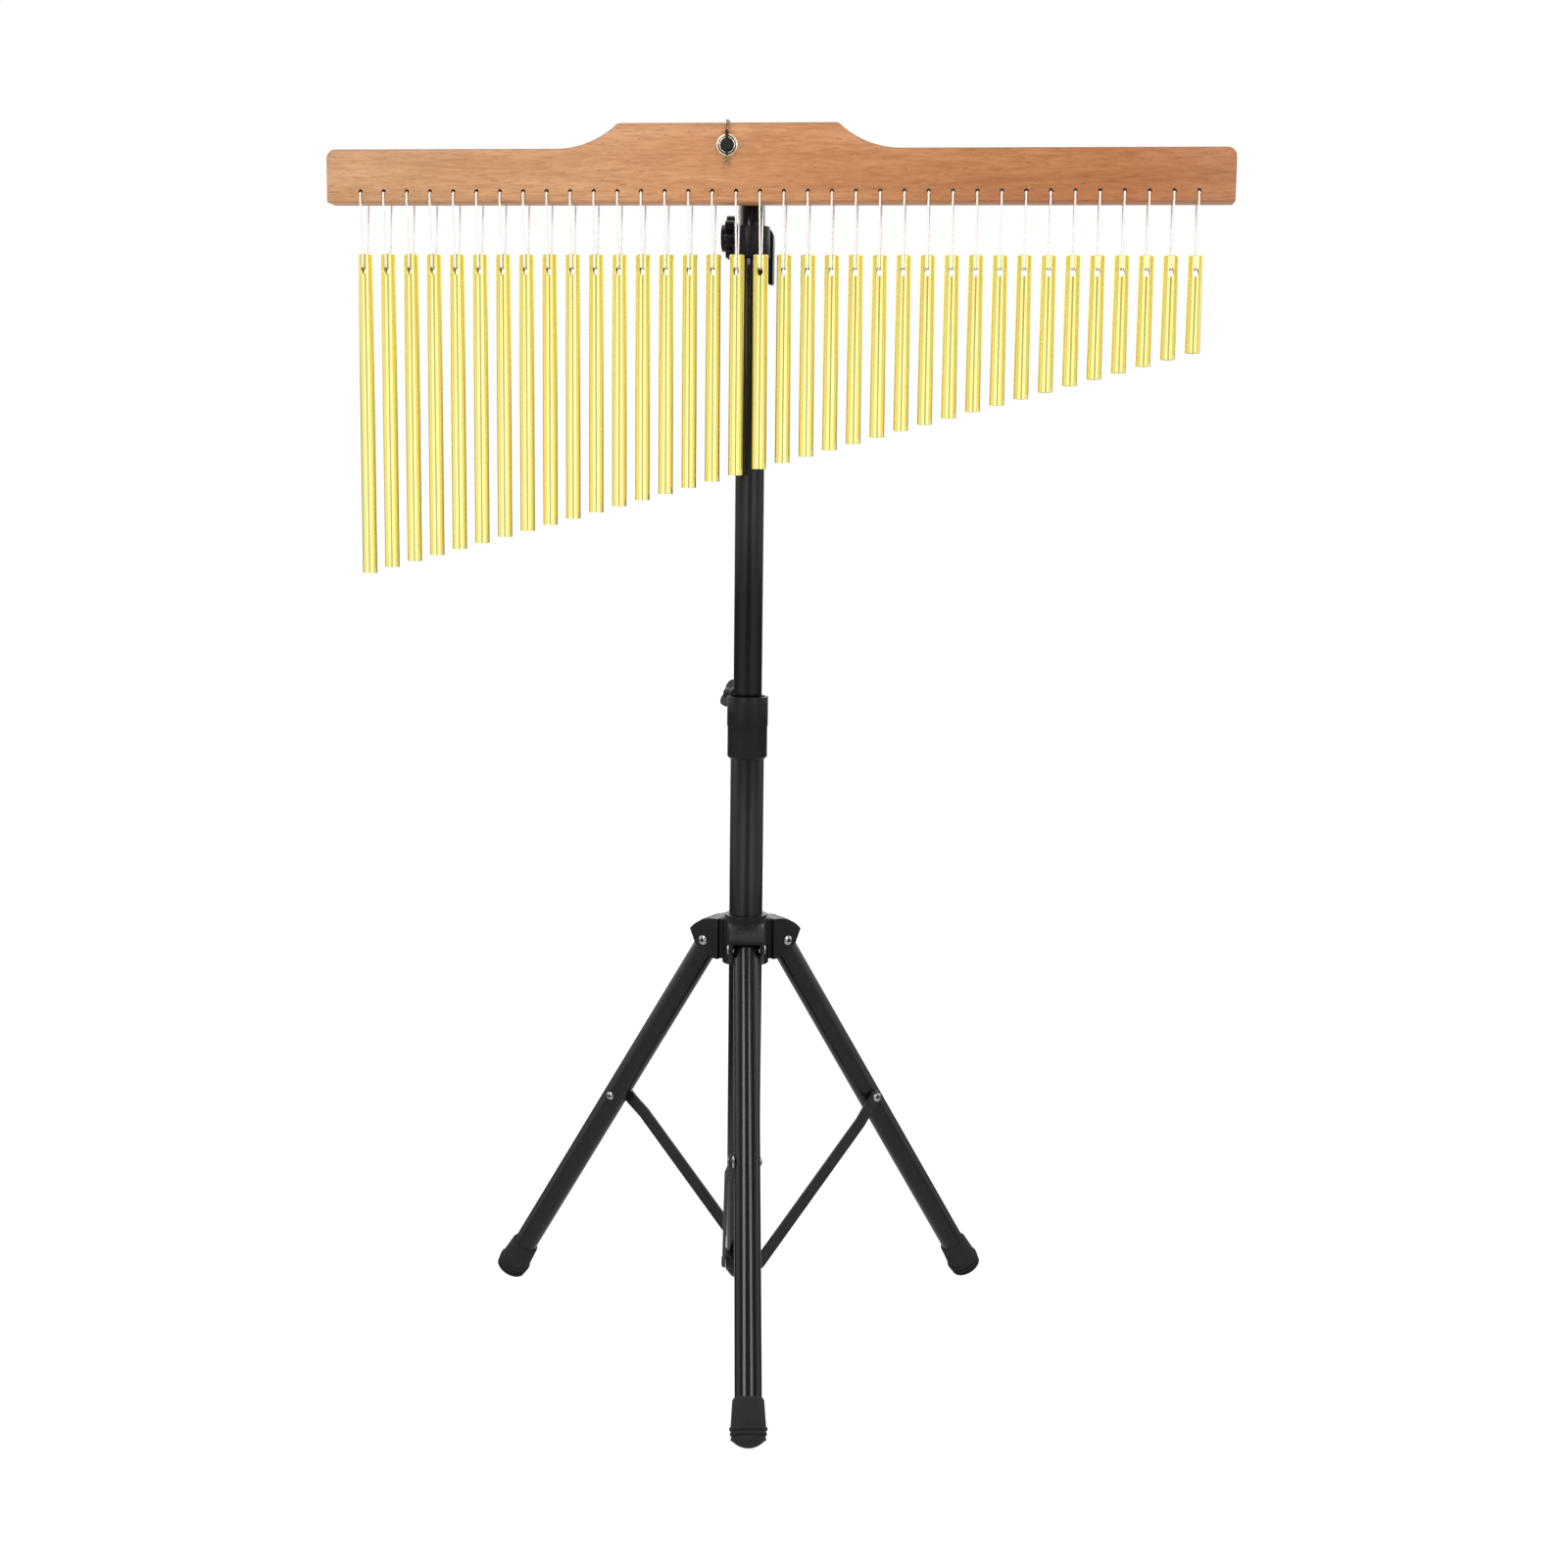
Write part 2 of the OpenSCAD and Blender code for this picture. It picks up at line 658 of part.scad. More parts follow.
// A pin through the peg's nose, and the bead chain that ties it to the peg behind the bar
module retaining_chain() {
  beads = [for (k = [0:chain_gaps]) chain_at(k * chain_len / chain_gaps)];
  color("silver") translate([eyelet_x, 0, peg_z]) {
    translate([0, pin_y, -pin_low]) cylinder(d = pin_d, h = pin_low + pin_up);
    for (p = beads) translate(p) sphere(d = bead_d, $fn = 32);
    for (k = [1:chain_gaps]) bead_link(beads[k - 1], beads[k]);
    rod([0, pin_y, pin_up - bead_wire_d], [0, pin_y, chain_first_z - bead_d / 2 + bead_seat], bead_wire_d);
    rod([0, bar_back + chain_out, chain_last_z - bead_d / 2 + bead_seat],
      [0, bar_back + chain_out, peg_ring_r], bead_wire_d);
    rod([0, pin_y, bead_wire_d - pin_low], [0, pin_y, tail_z[0] + bead_d / 2 - bead_seat], bead_wire_d);
    bead_link([0, pin_y, tail_z[0]], [0, pin_y, tail_z[1]]);
    for (z = tail_z) translate([0, pin_y, z]) sphere(d = bead_d, $fn = 32);
    translate([0, bar_back + chain_out, 0]) rotate([90, 0, 0])
      rotate_extrude() translate([peg_ring_r, 0]) circle(d = peg_ring_wire_d, $fn = 24);
  }
}

module eyelet() {
  flange_y = bar_t / 2 + eyelet_flange_t;
  color("#c9b37a") translate([eyelet_x, bar_y, peg_z]) rotate([90, 0, 0]) difference() {
    union() {
      cylinder(d = eyelet_bore + 2 * eyelet_wall, h = bar_t + 2 * eyelet_flange_t, center = true);
      for (s = [-1, 1]) translate([0, 0, s * (bar_t + eyelet_flange_t) / 2])
        cylinder(d = eyelet_flange_d, h = eyelet_flange_t, center = true);
    }
    cylinder(d = eyelet_bore, h = 2 * flange_y + 2 * cut, center = true);
  }
}

// Half of the bar's upper edge, from the hump's middle out to the end, above the underside
function half_edge() =
  let (
    sweep_r = (hump_sweep * hump_sweep + hump_rise * hump_rise) / (2 * hump_rise),
    sweep_x = hump_flat / 2 + hump_sweep,
    round_z = bar_end_h + hump_rise - hump_round,
    round_dz = bar_end_h + sweep_r - round_z,
    round_dx = sqrt((sweep_r + hump_round) * (sweep_r + hump_round) - round_dz * round_dz),
    lean = atan2(round_dx, round_dz)
  ) concat(
    arc([sweep_x - round_dx, round_z], hump_round, 90, 90 - lean, 6),
    arc([sweep_x, bar_end_h + sweep_r], sweep_r, 270 - lean, 270)
  );

module bar_outline() {
  half = bar_len / 2;
  edge = half_edge();
  last = len(edge) - 1;
  polygon(concat(
    [for (k = [last:-1:0]) [eyelet_x - edge[k][0], edge[k][1]]],
    [for (p = edge) [eyelet_x + p[0], p[1]]],
    arc([half - bar_top_r, bar_end_h - bar_top_r], bar_top_r, 90, 0, 8),
    arc([half - bar_low_r, bar_low_r], bar_low_r, 0, -90, 4),
    arc([bar_low_r - half, bar_low_r], bar_low_r, -90, -180, 4),
    arc([bar_top_r - half, bar_end_h - bar_top_r], bar_top_r, 180, 90, 8)
  ));
}

module wooden_bar() {
  color("#c9925f") translate([0, bar_y, bar_z]) rotate([90, 0, 0]) difference() {
    linear_extrude(bar_t, center = true) bar_outline();
    for (i = [1:CHIMES]) translate([chime_x(i), hole_up, 0])
      cylinder(d = hole_d, h = bar_t + 2 * cut, center = true, $fn = 32);
    translate([eyelet_x, eyelet_up, 0])
      cylinder(d = eyelet_bore + 2 * eyelet_wall, h = bar_t + 2 * cut, center = true);
  }
}

// Half of a cord loop's route: wood hole, bar's lower edge, chime's top, cross hole
bar_lay = bar_t / 2 + cord_d / 2 + cord_gap;
chime_lay = chime_d / 2 + cord_d / 2 + cord_gap;
cord_bend = 0.5;
cord_hole_z = hole_z - hole_d / 2 + cord_d / 2 + cord_gap;
cord_cross_z = chime_top - cross_down + cross_d / 2 - cord_d / 2 - cord_gap;
half_route = [
  [-bar_lay + cord_bend, cord_hole_z],
  [-bar_lay, cord_hole_z - cord_bend],
  [-bar_lay, bar_z - cord_d / 2],
  [-chime_lay, chime_top + cord_d / 2],
  [-chime_lay, cord_cross_z + cord_bend],
  [-chime_lay + cord_bend, cord_cross_z]
];
other_half = [for (k = [len(half_route) - 1:-1:0]) [-half_route[k][0], half_route[k][1]]];
loop_route = concat(half_route, other_half);
CORD_SIDES = 8;

// A closed loop of cord in the YZ plane, with a mitred ring of points at each bend
module cord_loop() {
  n = len(loop_route);
  rings = [for (k = [0:n - 1])
    let (
      a = loop_route[k] - loop_route[(k + n - 1) % n],
      b = loop_route[(k + 1) % n] - loop_route[k],
      m = a / norm(a) + b / norm(b),
      t = m / norm(m),
      spread = 1 / (t * b / norm(b))
    ) for (q = [0:CORD_SIDES - 1])
      let (r = cord_d / 2, u = r * cos(q * 360 / CORD_SIDES), w = r * spread * sin(q * 360 / CORD_SIDES))
        [u, loop_route[k][0] - t[1] * w, loop_route[k][1] + t[0] * w]
  ];
  polyhedron(rings, [for (k = [0:n - 1]) for (q = [0:CORD_SIDES - 1])
    let (p = (q + 1) % CORD_SIDES, a = k * CORD_SIDES, b = ((k + 1) % n) * CORD_SIDES)
      for (f = [[a + q, b + p, b + q], [a + q, a + p, b + p]]) f]);
}

// One tuned tube on its cord loop
module chime(i) {
  translate([chime_x(i), bar_y, 0]) {
    color("#e8c832") translate([0, 0, chime_top - chime_len(i)]) difference() {
      tube(chime_d, chime_wall, chime_len(i));
      translate([0, 0, chime_len(i) - cross_down]) across(cross_d, chime_d + 2 * cut);
    }
    color("white") cord_loop();
  }
}

lower_tube();
base_bracket();
leg_hub();
hub_bolts();
for (i = [0:2]) {
  leg(i);
  foot(i);
  brace(i);
}
lower_collar();
collar_knob();
middle_tube();
clamp_collar();
clamp_knob();
clamp_lever();
top_tube();
hook_peg();
retaining_chain();
eyelet();
wooden_bar();
for (i = [1:CHIMES]) chime(i);
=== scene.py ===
"""The looks of the bar chimes: finishes for the CAD nodes, and the pieces that stand for some of them.

Metres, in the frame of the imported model: +Z up, X along the wooden bar, -Y towards the camera.
"""
import json
import math

import bmesh
import bpy
from mathutils import Matrix, Vector


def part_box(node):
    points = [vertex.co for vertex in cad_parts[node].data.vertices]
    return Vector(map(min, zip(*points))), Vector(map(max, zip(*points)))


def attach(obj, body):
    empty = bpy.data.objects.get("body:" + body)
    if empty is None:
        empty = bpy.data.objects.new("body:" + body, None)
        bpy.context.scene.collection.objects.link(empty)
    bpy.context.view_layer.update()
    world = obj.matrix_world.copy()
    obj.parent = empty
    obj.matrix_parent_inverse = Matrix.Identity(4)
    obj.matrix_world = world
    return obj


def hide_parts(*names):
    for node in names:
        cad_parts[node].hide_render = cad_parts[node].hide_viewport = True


MM = 0.001
SIDES = ("front", "right", "left")
CHIMES = 36

# Tone of the wood along X, and the vein that wanders between two heights of the frame
TINT_REACH = 0.33
TINTS = (
    (0.04, (0.77, 0.78, 0.72)), (0.40, (0.78, 0.71, 0.60)), (0.665, (0.71, 0.59, 0.46)),
    (0.88, (0.64, 0.46, 0.31)), (0.97, (0.65, 0.54, 0.45)),
)
VEIN_HEIGHTS = (0.8742, 0.8772)
VEIN_HALF = (0.3 * MM, 1.1 * MM)
VEIN_REACH = (0.06, 0.2)
VEIN_WEIGHT = 0.55

# Wooden bar
HUMP_RISE = 18 * MM
HUMP_HALF_FLAT = 80.5 * MM
HUMP_SWEEP = 46 * MM
HUMP_ROUND = 4 * MM
BAR_END_HEIGHT = 38.5 * MM
BAR_TOP_ROUND = 7 * MM
BAR_LOW_ROUND = 1.2 * MM
BAR_EDGE_ROUND = 1.3 * MM
HOLE_UP = 8 * MM
HOLE_RADIUS = 1.65 * MM
CUT_PAST = 1 * MM

# Distances that count as none
SAME_PLACE = 1e-6
ON_AXIS = 1e-7
WELD_GAP = 2e-6

# Eyelet. Its lip's section is (height from its outermost level, distance out from the bore), in millimetres.
EYELET_UP = 40.5 * MM
EYELET_BORE = 4.6 * MM
EYELET_BARREL = 5.3 * MM
EYELET_FLANGE = 7.8 * MM
EYELET_FLANGE_THICK = 1 * MM
EYELET_FLANGE_EDGE = 0.8 * MM
# The faces at the groove's radius, within its half width, are painted with shade.
EYELET_GROOVE = 6.0 * MM
EYELET_GROOVE_HALF = 0.22 * MM
EYELET_LIP = (
    (-0.45, 0.0), (-0.12, 0.25), (0.0, 0.6), (-0.12, 0.95), (-0.5, 1.2), (-0.88, 1.25),
    (-0.88, 1.6), (-0.5, 1.7), (-0.22, 2.1), (-0.22, 2.6), (-0.5, 3.05),
)

# Pin and its ring, from the peg's axis, and PIN_OUT from the bar's faces
PIN_RADIUS = 1.1 * MM
PIN_UP = 10.4 * MM
PIN_LOW = 7 * MM
PIN_OUT = 2.7 * MM
PIN_EDGE = 0.3 * MM
PEG_RING_RADIUS = 5.3 * MM
PEG_RING_WIRE = 0.7 * MM

# Chain. A corner point is (distance out from the bar's face, depth below the chain's top run).
LINK_HALF_LENGTH = 1.4 * MM
LINK_HALF_WIDTH = 0.9 * MM
LINK_WIRE = 0.4 * MM
LINK_PITCH = 2 * MM
LINK_ROLL = 45
CHAIN_ABOVE = 1.4 * MM
CHAIN_START = 0.8 * MM
CHAIN_LEAN = 0.5 * MM
CHAIN_LEAN_DOWN = 4.5 * MM
CHAIN_CORNER = ((1.3 * MM, 2 * MM), (0.6 * MM, 0.7 * MM), (-0.9 * MM, 0))
TAIL_LINKS = 3
TAIL_GAP = 1.6 * MM

# Chimes and cords
CHIME_RADIUS = 5.5 * MM
CHIME_BORE = 4.5 * MM
CHIME_DROP = 36.5 * MM
CHIME_EDGE = 0.18 * MM
CROSS_DOWN = 12 * MM
CROSS_RADIUS = 2.2 * MM
CROSS_RISE = 3.2 * MM
CORD_RADIUS = 0.7 * MM
CORD_GAP = 0.15 * MM
CORD_LAY = 5 * MM
CORD_BEND = 0.5 * MM
CORD_EASE = 0.4 * MM
CORD_STEP = 0.6 * MM
STRAND_DEPTH = 0.1

# Legs and their brace screws
LEG_TILT = math.radians(32.2)
LEG_RADIUS = 9.75 * MM
LEG_WALL = 1.2 * MM
LEG_LENGTH = 355 * MM
BRACE_AT = 165 * MM
BRACE_SCREW_OUT = 14 * MM
BRACE_SCREW_LOW = 0.7 * MM
BRACE_SCREW_RADIUS = 3.2 * MM
BRACE_SCREW_HEAD = 1.4 * MM
WASHER_RADIUS = 4.5 * MM
WASHER_THICK = 1.15 * MM
BOLT_RADIUS = 2.5 * MM

# Feet. The shoulder is (radius, depth below the mouth), and a rib is (radius, height of its top).
FOOT_FLOOR = 4 * MM
FOOT_MOUTH = 21 * MM
FOOT_GAP = 0.05 * MM
FOOT_SHOULDER = ((10.3 * MM, 0), (10.7 * MM, 0.5 * MM), (11.4 * MM, 1.7 * MM))
FOOT_RIBS = ((13.5 * MM, 1 * MM), (13 * MM, -2.4 * MM), (12.5 * MM, -5.8 * MM))
FOOT_RIB_HEIGHT = 2.2 * MM
FOOT_RIB_STEP = 0.9 * MM
FOOT_RIB_EDGE = 0.25 * MM
FOOT_DOME_UP = 2.7 * MM
FOOT_DOME_RADIUS = 15.7 * MM
FOOT_TIP = -13 * MM

# Hub, its bolts, and the ridges on the dome over each ear, placed from the leg's pivot
HUB_EAR_HALF = 13.55 * MM
HUB_SCREW_HEAD = 1.6 * MM
EAR_DOME = (-9 * MM, -9.3 * MM)
EAR_DOME_RADIUS = 27.4 * MM
RIDGE_PLACES = (-7.5 * MM, -2.5 * MM, 2.5 * MM, 7.5 * MM)
RIDGE_SUNK = 0.4 * MM
RIDGE_PROUD = 0.45 * MM
RIDGE_HALF_FOOT = 0.7 * MM
RIDGE_HALF_TOP = 0.4 * MM
RIDGE_FOOT_SPAN = (54, 78)
RIDGE_CREST_SPAN = (56, 76)
RIDGE_STEPS = 8

# Screw heads. The socket's sizes are shares of the head's radius and height, and its inner walls within the
# shade width and rise are painted with shade.
SCREW_RADIUS = 3.7 * MM
SOCKET_WIDE = 0.42
SOCKET_FLOOR = 0.25
SOCKET_SHADE_WIDE = 0.41
SOCKET_SHADE_RISE = (0.2, 0.9)

# Camera of the photograph
LENS = 49.27
SENSOR = 36
CAMERA_PLACE = (0.172, -1.5894, 0.6737)
CAMERA_RIGHT = (0.99479, 0.10081, 0.01494)
CAMERA_FORWARD = (-0.09768, 0.98499, -0.14234)
CAMERA_ROLL = 0.0035

# What shines on metal: brightness by the share of a half turn away from the camera's side
CAMERA_SIDE = 0.118
GLOSSY_STRENGTH = 2.4
GROUND_TONE = 0.33
LEVEL_TONES = (
    (0.0, 0.26), (0.05, 0.28), (0.09, 0.55), (0.12, 0.84), (0.20, 0.84), (0.24, 0.62), (0.30, 0.48),
    (0.38, 0.36), (0.46, 0.46), (0.54, 0.44), (0.63, 0.24), (0.72, 0.12), (0.84, 0.05), (0.9, 0.5),
    (1.0, 0.55),
)
BELOW_TONES = (
    (0.0, 0.06), (0.08, 0.08), (0.16, 0.30), (0.36, 0.28), (0.5, 0.12), (0.6, 0.05), (0.84, 0.02),
    (0.9, 0.3), (1.0, 0.35),
)
ABOVE_TONES = ((0.4, 0.1), (0.7, 1.0))

# Where a direction of length 1 passes from one band to the next: the heights between which it changes
ABOVE_FROM = (0.03, 0.2)
BELOW_FROM = (-0.09, -0.15)
GROUND_FROM = (-0.36, -0.5)

# Lamps: name, place, target, width, height and power in watts
LAMPS = (
    ("key", (-1.3, -2.0, 2.1), (0, 0, 0.6), 0.9, 1.6, 40),
    ("fill", (1.35, -1.6, 1.85), (0, 0, 0.6), 0.75, 1.4, 24),
    ("top", (0, -0.2, 2.4), (0, 0, 0.5), 1.6, 1.0, 12),
)

# Floor
FLOOR_HALF = 6.0

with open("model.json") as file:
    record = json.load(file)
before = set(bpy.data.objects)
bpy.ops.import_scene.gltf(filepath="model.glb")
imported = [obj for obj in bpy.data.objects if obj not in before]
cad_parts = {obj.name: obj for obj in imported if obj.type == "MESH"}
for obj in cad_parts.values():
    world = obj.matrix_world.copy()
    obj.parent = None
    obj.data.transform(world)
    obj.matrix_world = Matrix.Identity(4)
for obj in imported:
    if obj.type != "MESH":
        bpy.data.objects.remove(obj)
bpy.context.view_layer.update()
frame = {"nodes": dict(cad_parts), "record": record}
nodes = frame["nodes"]
joints = {j["name"]: j for j in frame["record"]["behaviour"]["joints"]}


def adder(tree):
    """A function that adds a node to the tree, with its inputs linked or set."""
    def add(kind, inputs=None, **settings):
        made = tree.nodes.new("ShaderNode" + kind)
        for key, value in settings.items():
            setattr(made, key, value)
        for key, value in (inputs or {}).items():
            socket = made.inputs[key]
            if isinstance(value, bpy.types.NodeSocket):
                tree.links.new(value, socket)
            else:
                socket.default_value = value
        return made

    return add


def node_tree(name):
    """A new material, its node tree, its Principled shader and the function that adds nodes."""
    mat = bpy.data.materials.new(name)
    mat.use_nodes = True
    tree = mat.node_tree
    return mat, tree, tree.nodes["Principled BSDF"], adder(tree)


def set_shader(shader, **values):
    """Sets constants on a Principled shader; an underscore in a name stands for a space."""
    for key, value in values.items():
        shader.inputs[key.replace("_", " ")].default_value = value


def object_coords(add, scale):
    """Object coordinates in metres, stretched by scale."""
    coords = add("TexCoord")
    return add("Mapping", {"Vector": coords.outputs["Object"], "Scale": scale}).outputs["Vector"]


def bump(tree, shader, add, height, distance, strength):
    """A bump of that height in metres on the shader."""
    made = add("Bump", {"Height": height, "Distance": distance, "Strength": strength})
    tree.links.new(made.outputs["Normal"], shader.inputs["Normal"])


def ramp(add, factor, stops):
    """A colour ramp through (place, colour) stops."""
    made = add("ValToRGB", {"Fac": factor})
    while len(made.color_ramp.elements) < len(stops):
        made.color_ramp.elements.new(0.5)
    for element, (place, colour) in zip(made.color_ramp.elements, stops):
        element.position = place
        element.color = (*colour, 1)
    return made.outputs["Color"]


def noise(add, scale, detail, **inputs):
    """Noise that is stretched by scale, over object coordinates."""
    return add("TexNoise", {"Vector": object_coords(add, scale), "Scale": 1.0, "Detail": detail, **inputs})


def spread(add, value, low, high):
    """A value from 0 to 1 brought to the range from low to high."""
    return add("MapRange", {"Value": value, "To Min": low, "To Max": high}).outputs["Result"]


def share_between(add, value, start, end):
    """0 at or before start, 1 at or past end, and even between them."""
    return add("MapRange", {"Value": value, "From Min": start, "From Max": end}).outputs["Result"]


def calculate(add, operation, *values):
    """The outcome of a Math node."""
    return add("Math", dict(enumerate(values)), operation=operation).outputs[0]


def mix(add, factor, a, b, blend="MIX"):
    """Two colours mixed by the factor."""
    made = add("Mix", data_type="RGBA", blend_type=blend)
    tree = made.id_data
    for socket, value in ((made.inputs[0], factor), (made.inputs[6], a), (made.inputs[7], b)):
        if isinstance(value, bpy.types.NodeSocket):
            tree.links.new(value, socket)
        else:
            socket.default_value = value
    return made.outputs[2]


def wood():
    """Tan hardwood with its grain along X: broad streaks, fine fibres and short dark pores.

    Its tone changes along the bar, a thin vein runs near the underside, and the rounded upper edges are
    darkened by painted shade.
    """
    mat, tree, shader, add = node_tree("tan_hardwood")
    broad = noise(add, (5, 30, 55), 5.0, Roughness=0.55, Distortion=0.6)
    colour = ramp(add, broad.outputs["Fac"], [
        (0.28, (0.46, 0.225, 0.098)), (0.45, (0.54, 0.275, 0.128)), (0.6, (0.60, 0.325, 0.165)),
        (0.75, (0.66, 0.385, 0.215))])
    fibres = noise(add, (60, 420, 640), 4.0, Roughness=0.65, Distortion=0.5)
    fibre_tone = ramp(add, fibres.outputs["Fac"], [(0.3, (0.64, 0.52, 0.42)), (0.6, (1.0, 1.0, 1.0))])
    colour = mix(add, 0.75, colour, fibre_tone, "MULTIPLY")
    pores = noise(add, (150, 1100, 1500), 1.0)
    pore_mask = ramp(add, pores.outputs["Fac"], [(0.66, (0, 0, 0)), (0.76, (1, 1, 1))])
    colour = mix(add, pore_mask, colour, (0.30, 0.13, 0.055, 1))
    place = add("SeparateXYZ", {"Vector": add("TexCoord").outputs["Object"]})
    along = share_between(add, place.outputs["X"], -TINT_REACH, TINT_REACH)
    colour = mix(add, 1.0, colour, ramp(add, along, TINTS), "MULTIPLY")
    wander = noise(add, (24, 3, 3), 3.0)
    rise = spread(add, wander.outputs["Fac"], *(-z for z in VEIN_HEIGHTS))
    apart = calculate(add, "ABSOLUTE", calculate(add, "ADD", place.outputs["Z"], rise))
    vein = add("MapRange", {"Value": apart, "From Min": VEIN_HALF[0], "From Max": VEIN_HALF[1],
                            "To Min": 1.0, "To Max": 0.0})
    reach = share_between(add, place.outputs["X"], *VEIN_REACH)
    veined = calculate(add, "MULTIPLY", vein.outputs["Result"], reach)
    faint = calculate(add, "MULTIPLY", veined, VEIN_WEIGHT)
    colour = mix(add, faint, colour, (0.34, 0.13, 0.05, 1))
    # Painted shade: the rounded upper edges, by how far they face up, are mixed toward grey-brown, standing
    # in for the shade and dull reflection on the bevel.
    facing = add("SeparateXYZ", {"Vector": add("NewGeometry").outputs["Normal"]})
    rim = ramp(add, facing.outputs["Z"], [
        (0.12, (0, 0, 0)), (0.35, (0.6, 0.6, 0.6)), (0.8, (0.6, 0.6, 0.6)), (0.97, (0, 0, 0))])
    colour = mix(add, rim, colour, (0.17, 0.125, 0.09, 1))
    tree.links.new(colour, shader.inputs["Base Color"])
    tree.links.new(spread(add, fibres.outputs["Fac"], 0.38, 0.56), shader.inputs["Roughness"])
    set_shader(shader, Specular_IOR_Level=0.35)
    bump(tree, shader, add, fibres.outputs["Fac"], 0.00012, 0.6)
    return mat


def gold_tube():
    """Anodised gold-coloured aluminium with a few faint drawn lines along the tube."""
    mat, tree, shader, add = node_tree("gold_anodised_aluminium")
    lines = noise(add, (420, 420, 3), 2.0)
    colour = ramp(add, lines.outputs["Fac"], [(0.3, (0.88, 0.74, 0.22)), (0.7, (0.95, 0.84, 0.31))])
    tree.links.new(colour, shader.inputs["Base Color"])
    tree.links.new(spread(add, lines.outputs["Fac"], 0.12, 0.20), shader.inputs["Roughness"])
    set_shader(shader, Metallic=1.0)
    bump(tree, shader, add, lines.outputs["Fac"], 0.00001, 0.3)
    return mat


def black_paint(name, base, roughness, grain, gloss=0.16):
    """Black paint on metal, with the faint ripple of a sprayed coat and a little wear in its gloss; a
    near-black one also serves as painted shade in hollows.
    """
    mat, tree, shader, add = node_tree(name)
    ripple = noise(add, (grain, grain, grain), 3.0)
    wear = noise(add, (60, 60, 25), 6.0)
    colour = ramp(add, wear.outputs["Fac"], [(0.35, base), (0.7, tuple(1.3 * c for c in base))])
    tree.links.new(colour, shader.inputs["Base Color"])
    rough = spread(add, wear.outputs["Fac"], roughness * 0.92, roughness * 1.08)
    tree.links.new(rough, shader.inputs["Roughness"])
    set_shader(shader, Specular_IOR_Level=gloss)
    bump(tree, shader, add, ripple.outputs["Fac"], 0.00001, 0.05)
    return mat


def black_plastic(name, base, roughness, grain):
    """Moulded plastic or rubber with a fine spark grain."""
    mat, tree, shader, add = node_tree(name)
    cells = add("TexVoronoi", {"Vector": object_coords(add, (grain, grain, grain)), "Scale": 1.0})
    cloud = noise(add, (40, 40, 40), 5.0)
    colour = ramp(add, cloud.outputs["Fac"], [(0.3, base), (0.75, tuple(1.6 * c for c in base))])
    tree.links.new(colour, shader.inputs["Base Color"])
    rough = spread(add, cloud.outputs["Fac"], roughness * 0.85, roughness * 1.15)
    tree.links.new(rough, shader.inputs["Roughness"])
    set_shader(shader, Specular_IOR_Level=0.14)
    bump(tree, shader, add, cells.outputs["Distance"], 0.00006, 0.35)
    return mat


def bright_metal(name, low, high, roughness):
    """Plated or polished metal with fine scratches and a little tarnish."""
    mat, tree, shader, add = node_tree(name)
    scratch = noise(add, (900, 900, 2500), 4.0)
    colour = ramp(add, scratch.outputs["Fac"], [(0.3, low), (0.7, high)])
    tree.links.new(colour, shader.inputs["Base Color"])
    rough = spread(add, scratch.outputs["Fac"], roughness * 0.6, roughness * 1.5)
    tree.links.new(rough, shader.inputs["Roughness"])
    set_shader(shader, Metallic=1.0)
    bump(tree, shader, add, scratch.outputs["Fac"], 0.00002, 0.3)
    return mat


def nylon():
    """White nylon cord, slightly translucent, with the fuzz of fine filaments."""
    mat, tree, shader, add = node_tree("white_nylon_cord")
    filaments = noise(add, (4000, 4000, 1200), 2.0)
    colour = ramp(add, filaments.outputs["Fac"], [(0.3, (0.70, 0.65, 0.60)), (0.65, (0.80, 0.76, 0.71))])
    tree.links.new(colour, shader.inputs["Base Color"])
    set_shader(shader, Roughness=0.55, Subsurface_Weight=0.25, Subsurface_Scale=0.0006, Sheen_Weight=0.3)
    bump(tree, shader, add, filaments.outputs["Fac"], 0.00003, 0.3)
    return mat


WOOD = wood()
GOLD = gold_tube()
PAINT = black_paint("black_satin_paint", (0.004, 0.004, 0.0042), 0.18, 900, 0.3)
BRACKET = black_paint("black_matt_paint", (0.009, 0.009, 0.0095), 0.42, 1200)
STRIP = black_paint("dark_steel_strip", (0.014, 0.014, 0.0145), 0.4, 1000)
PLASTIC = black_plastic("black_moulded_plastic", (0.007, 0.007, 0.0072), 0.36, 2600)
KNOB = black_plastic("black_knob_plastic", (0.006, 0.006, 0.0062), 0.38, 2200)
RUBBER = black_plastic("black_rubber", (0.012, 0.012, 0.0118), 0.72, 1500)
CHROME = bright_metal("chrome_plate", (0.34, 0.34, 0.35), (0.50, 0.50, 0.51), 0.12)
NICKEL = bright_metal("nickel_chain", (0.15, 0.105, 0.075), (0.42, 0.33, 0.25), 0.2)
BRASS = bright_metal("pale_brass", (0.82, 0.75, 0.58), (0.93, 0.88, 0.74), 0.2)
NYLON = nylon()
# Painted shade: a near-black finish for the faces inside grooves and screw sockets, where the real metal
# only lies in shade.
PAINTED_SHADE = black_paint("painted_recess_shade", (0.012, 0.011, 0.01), 0.6, 900)


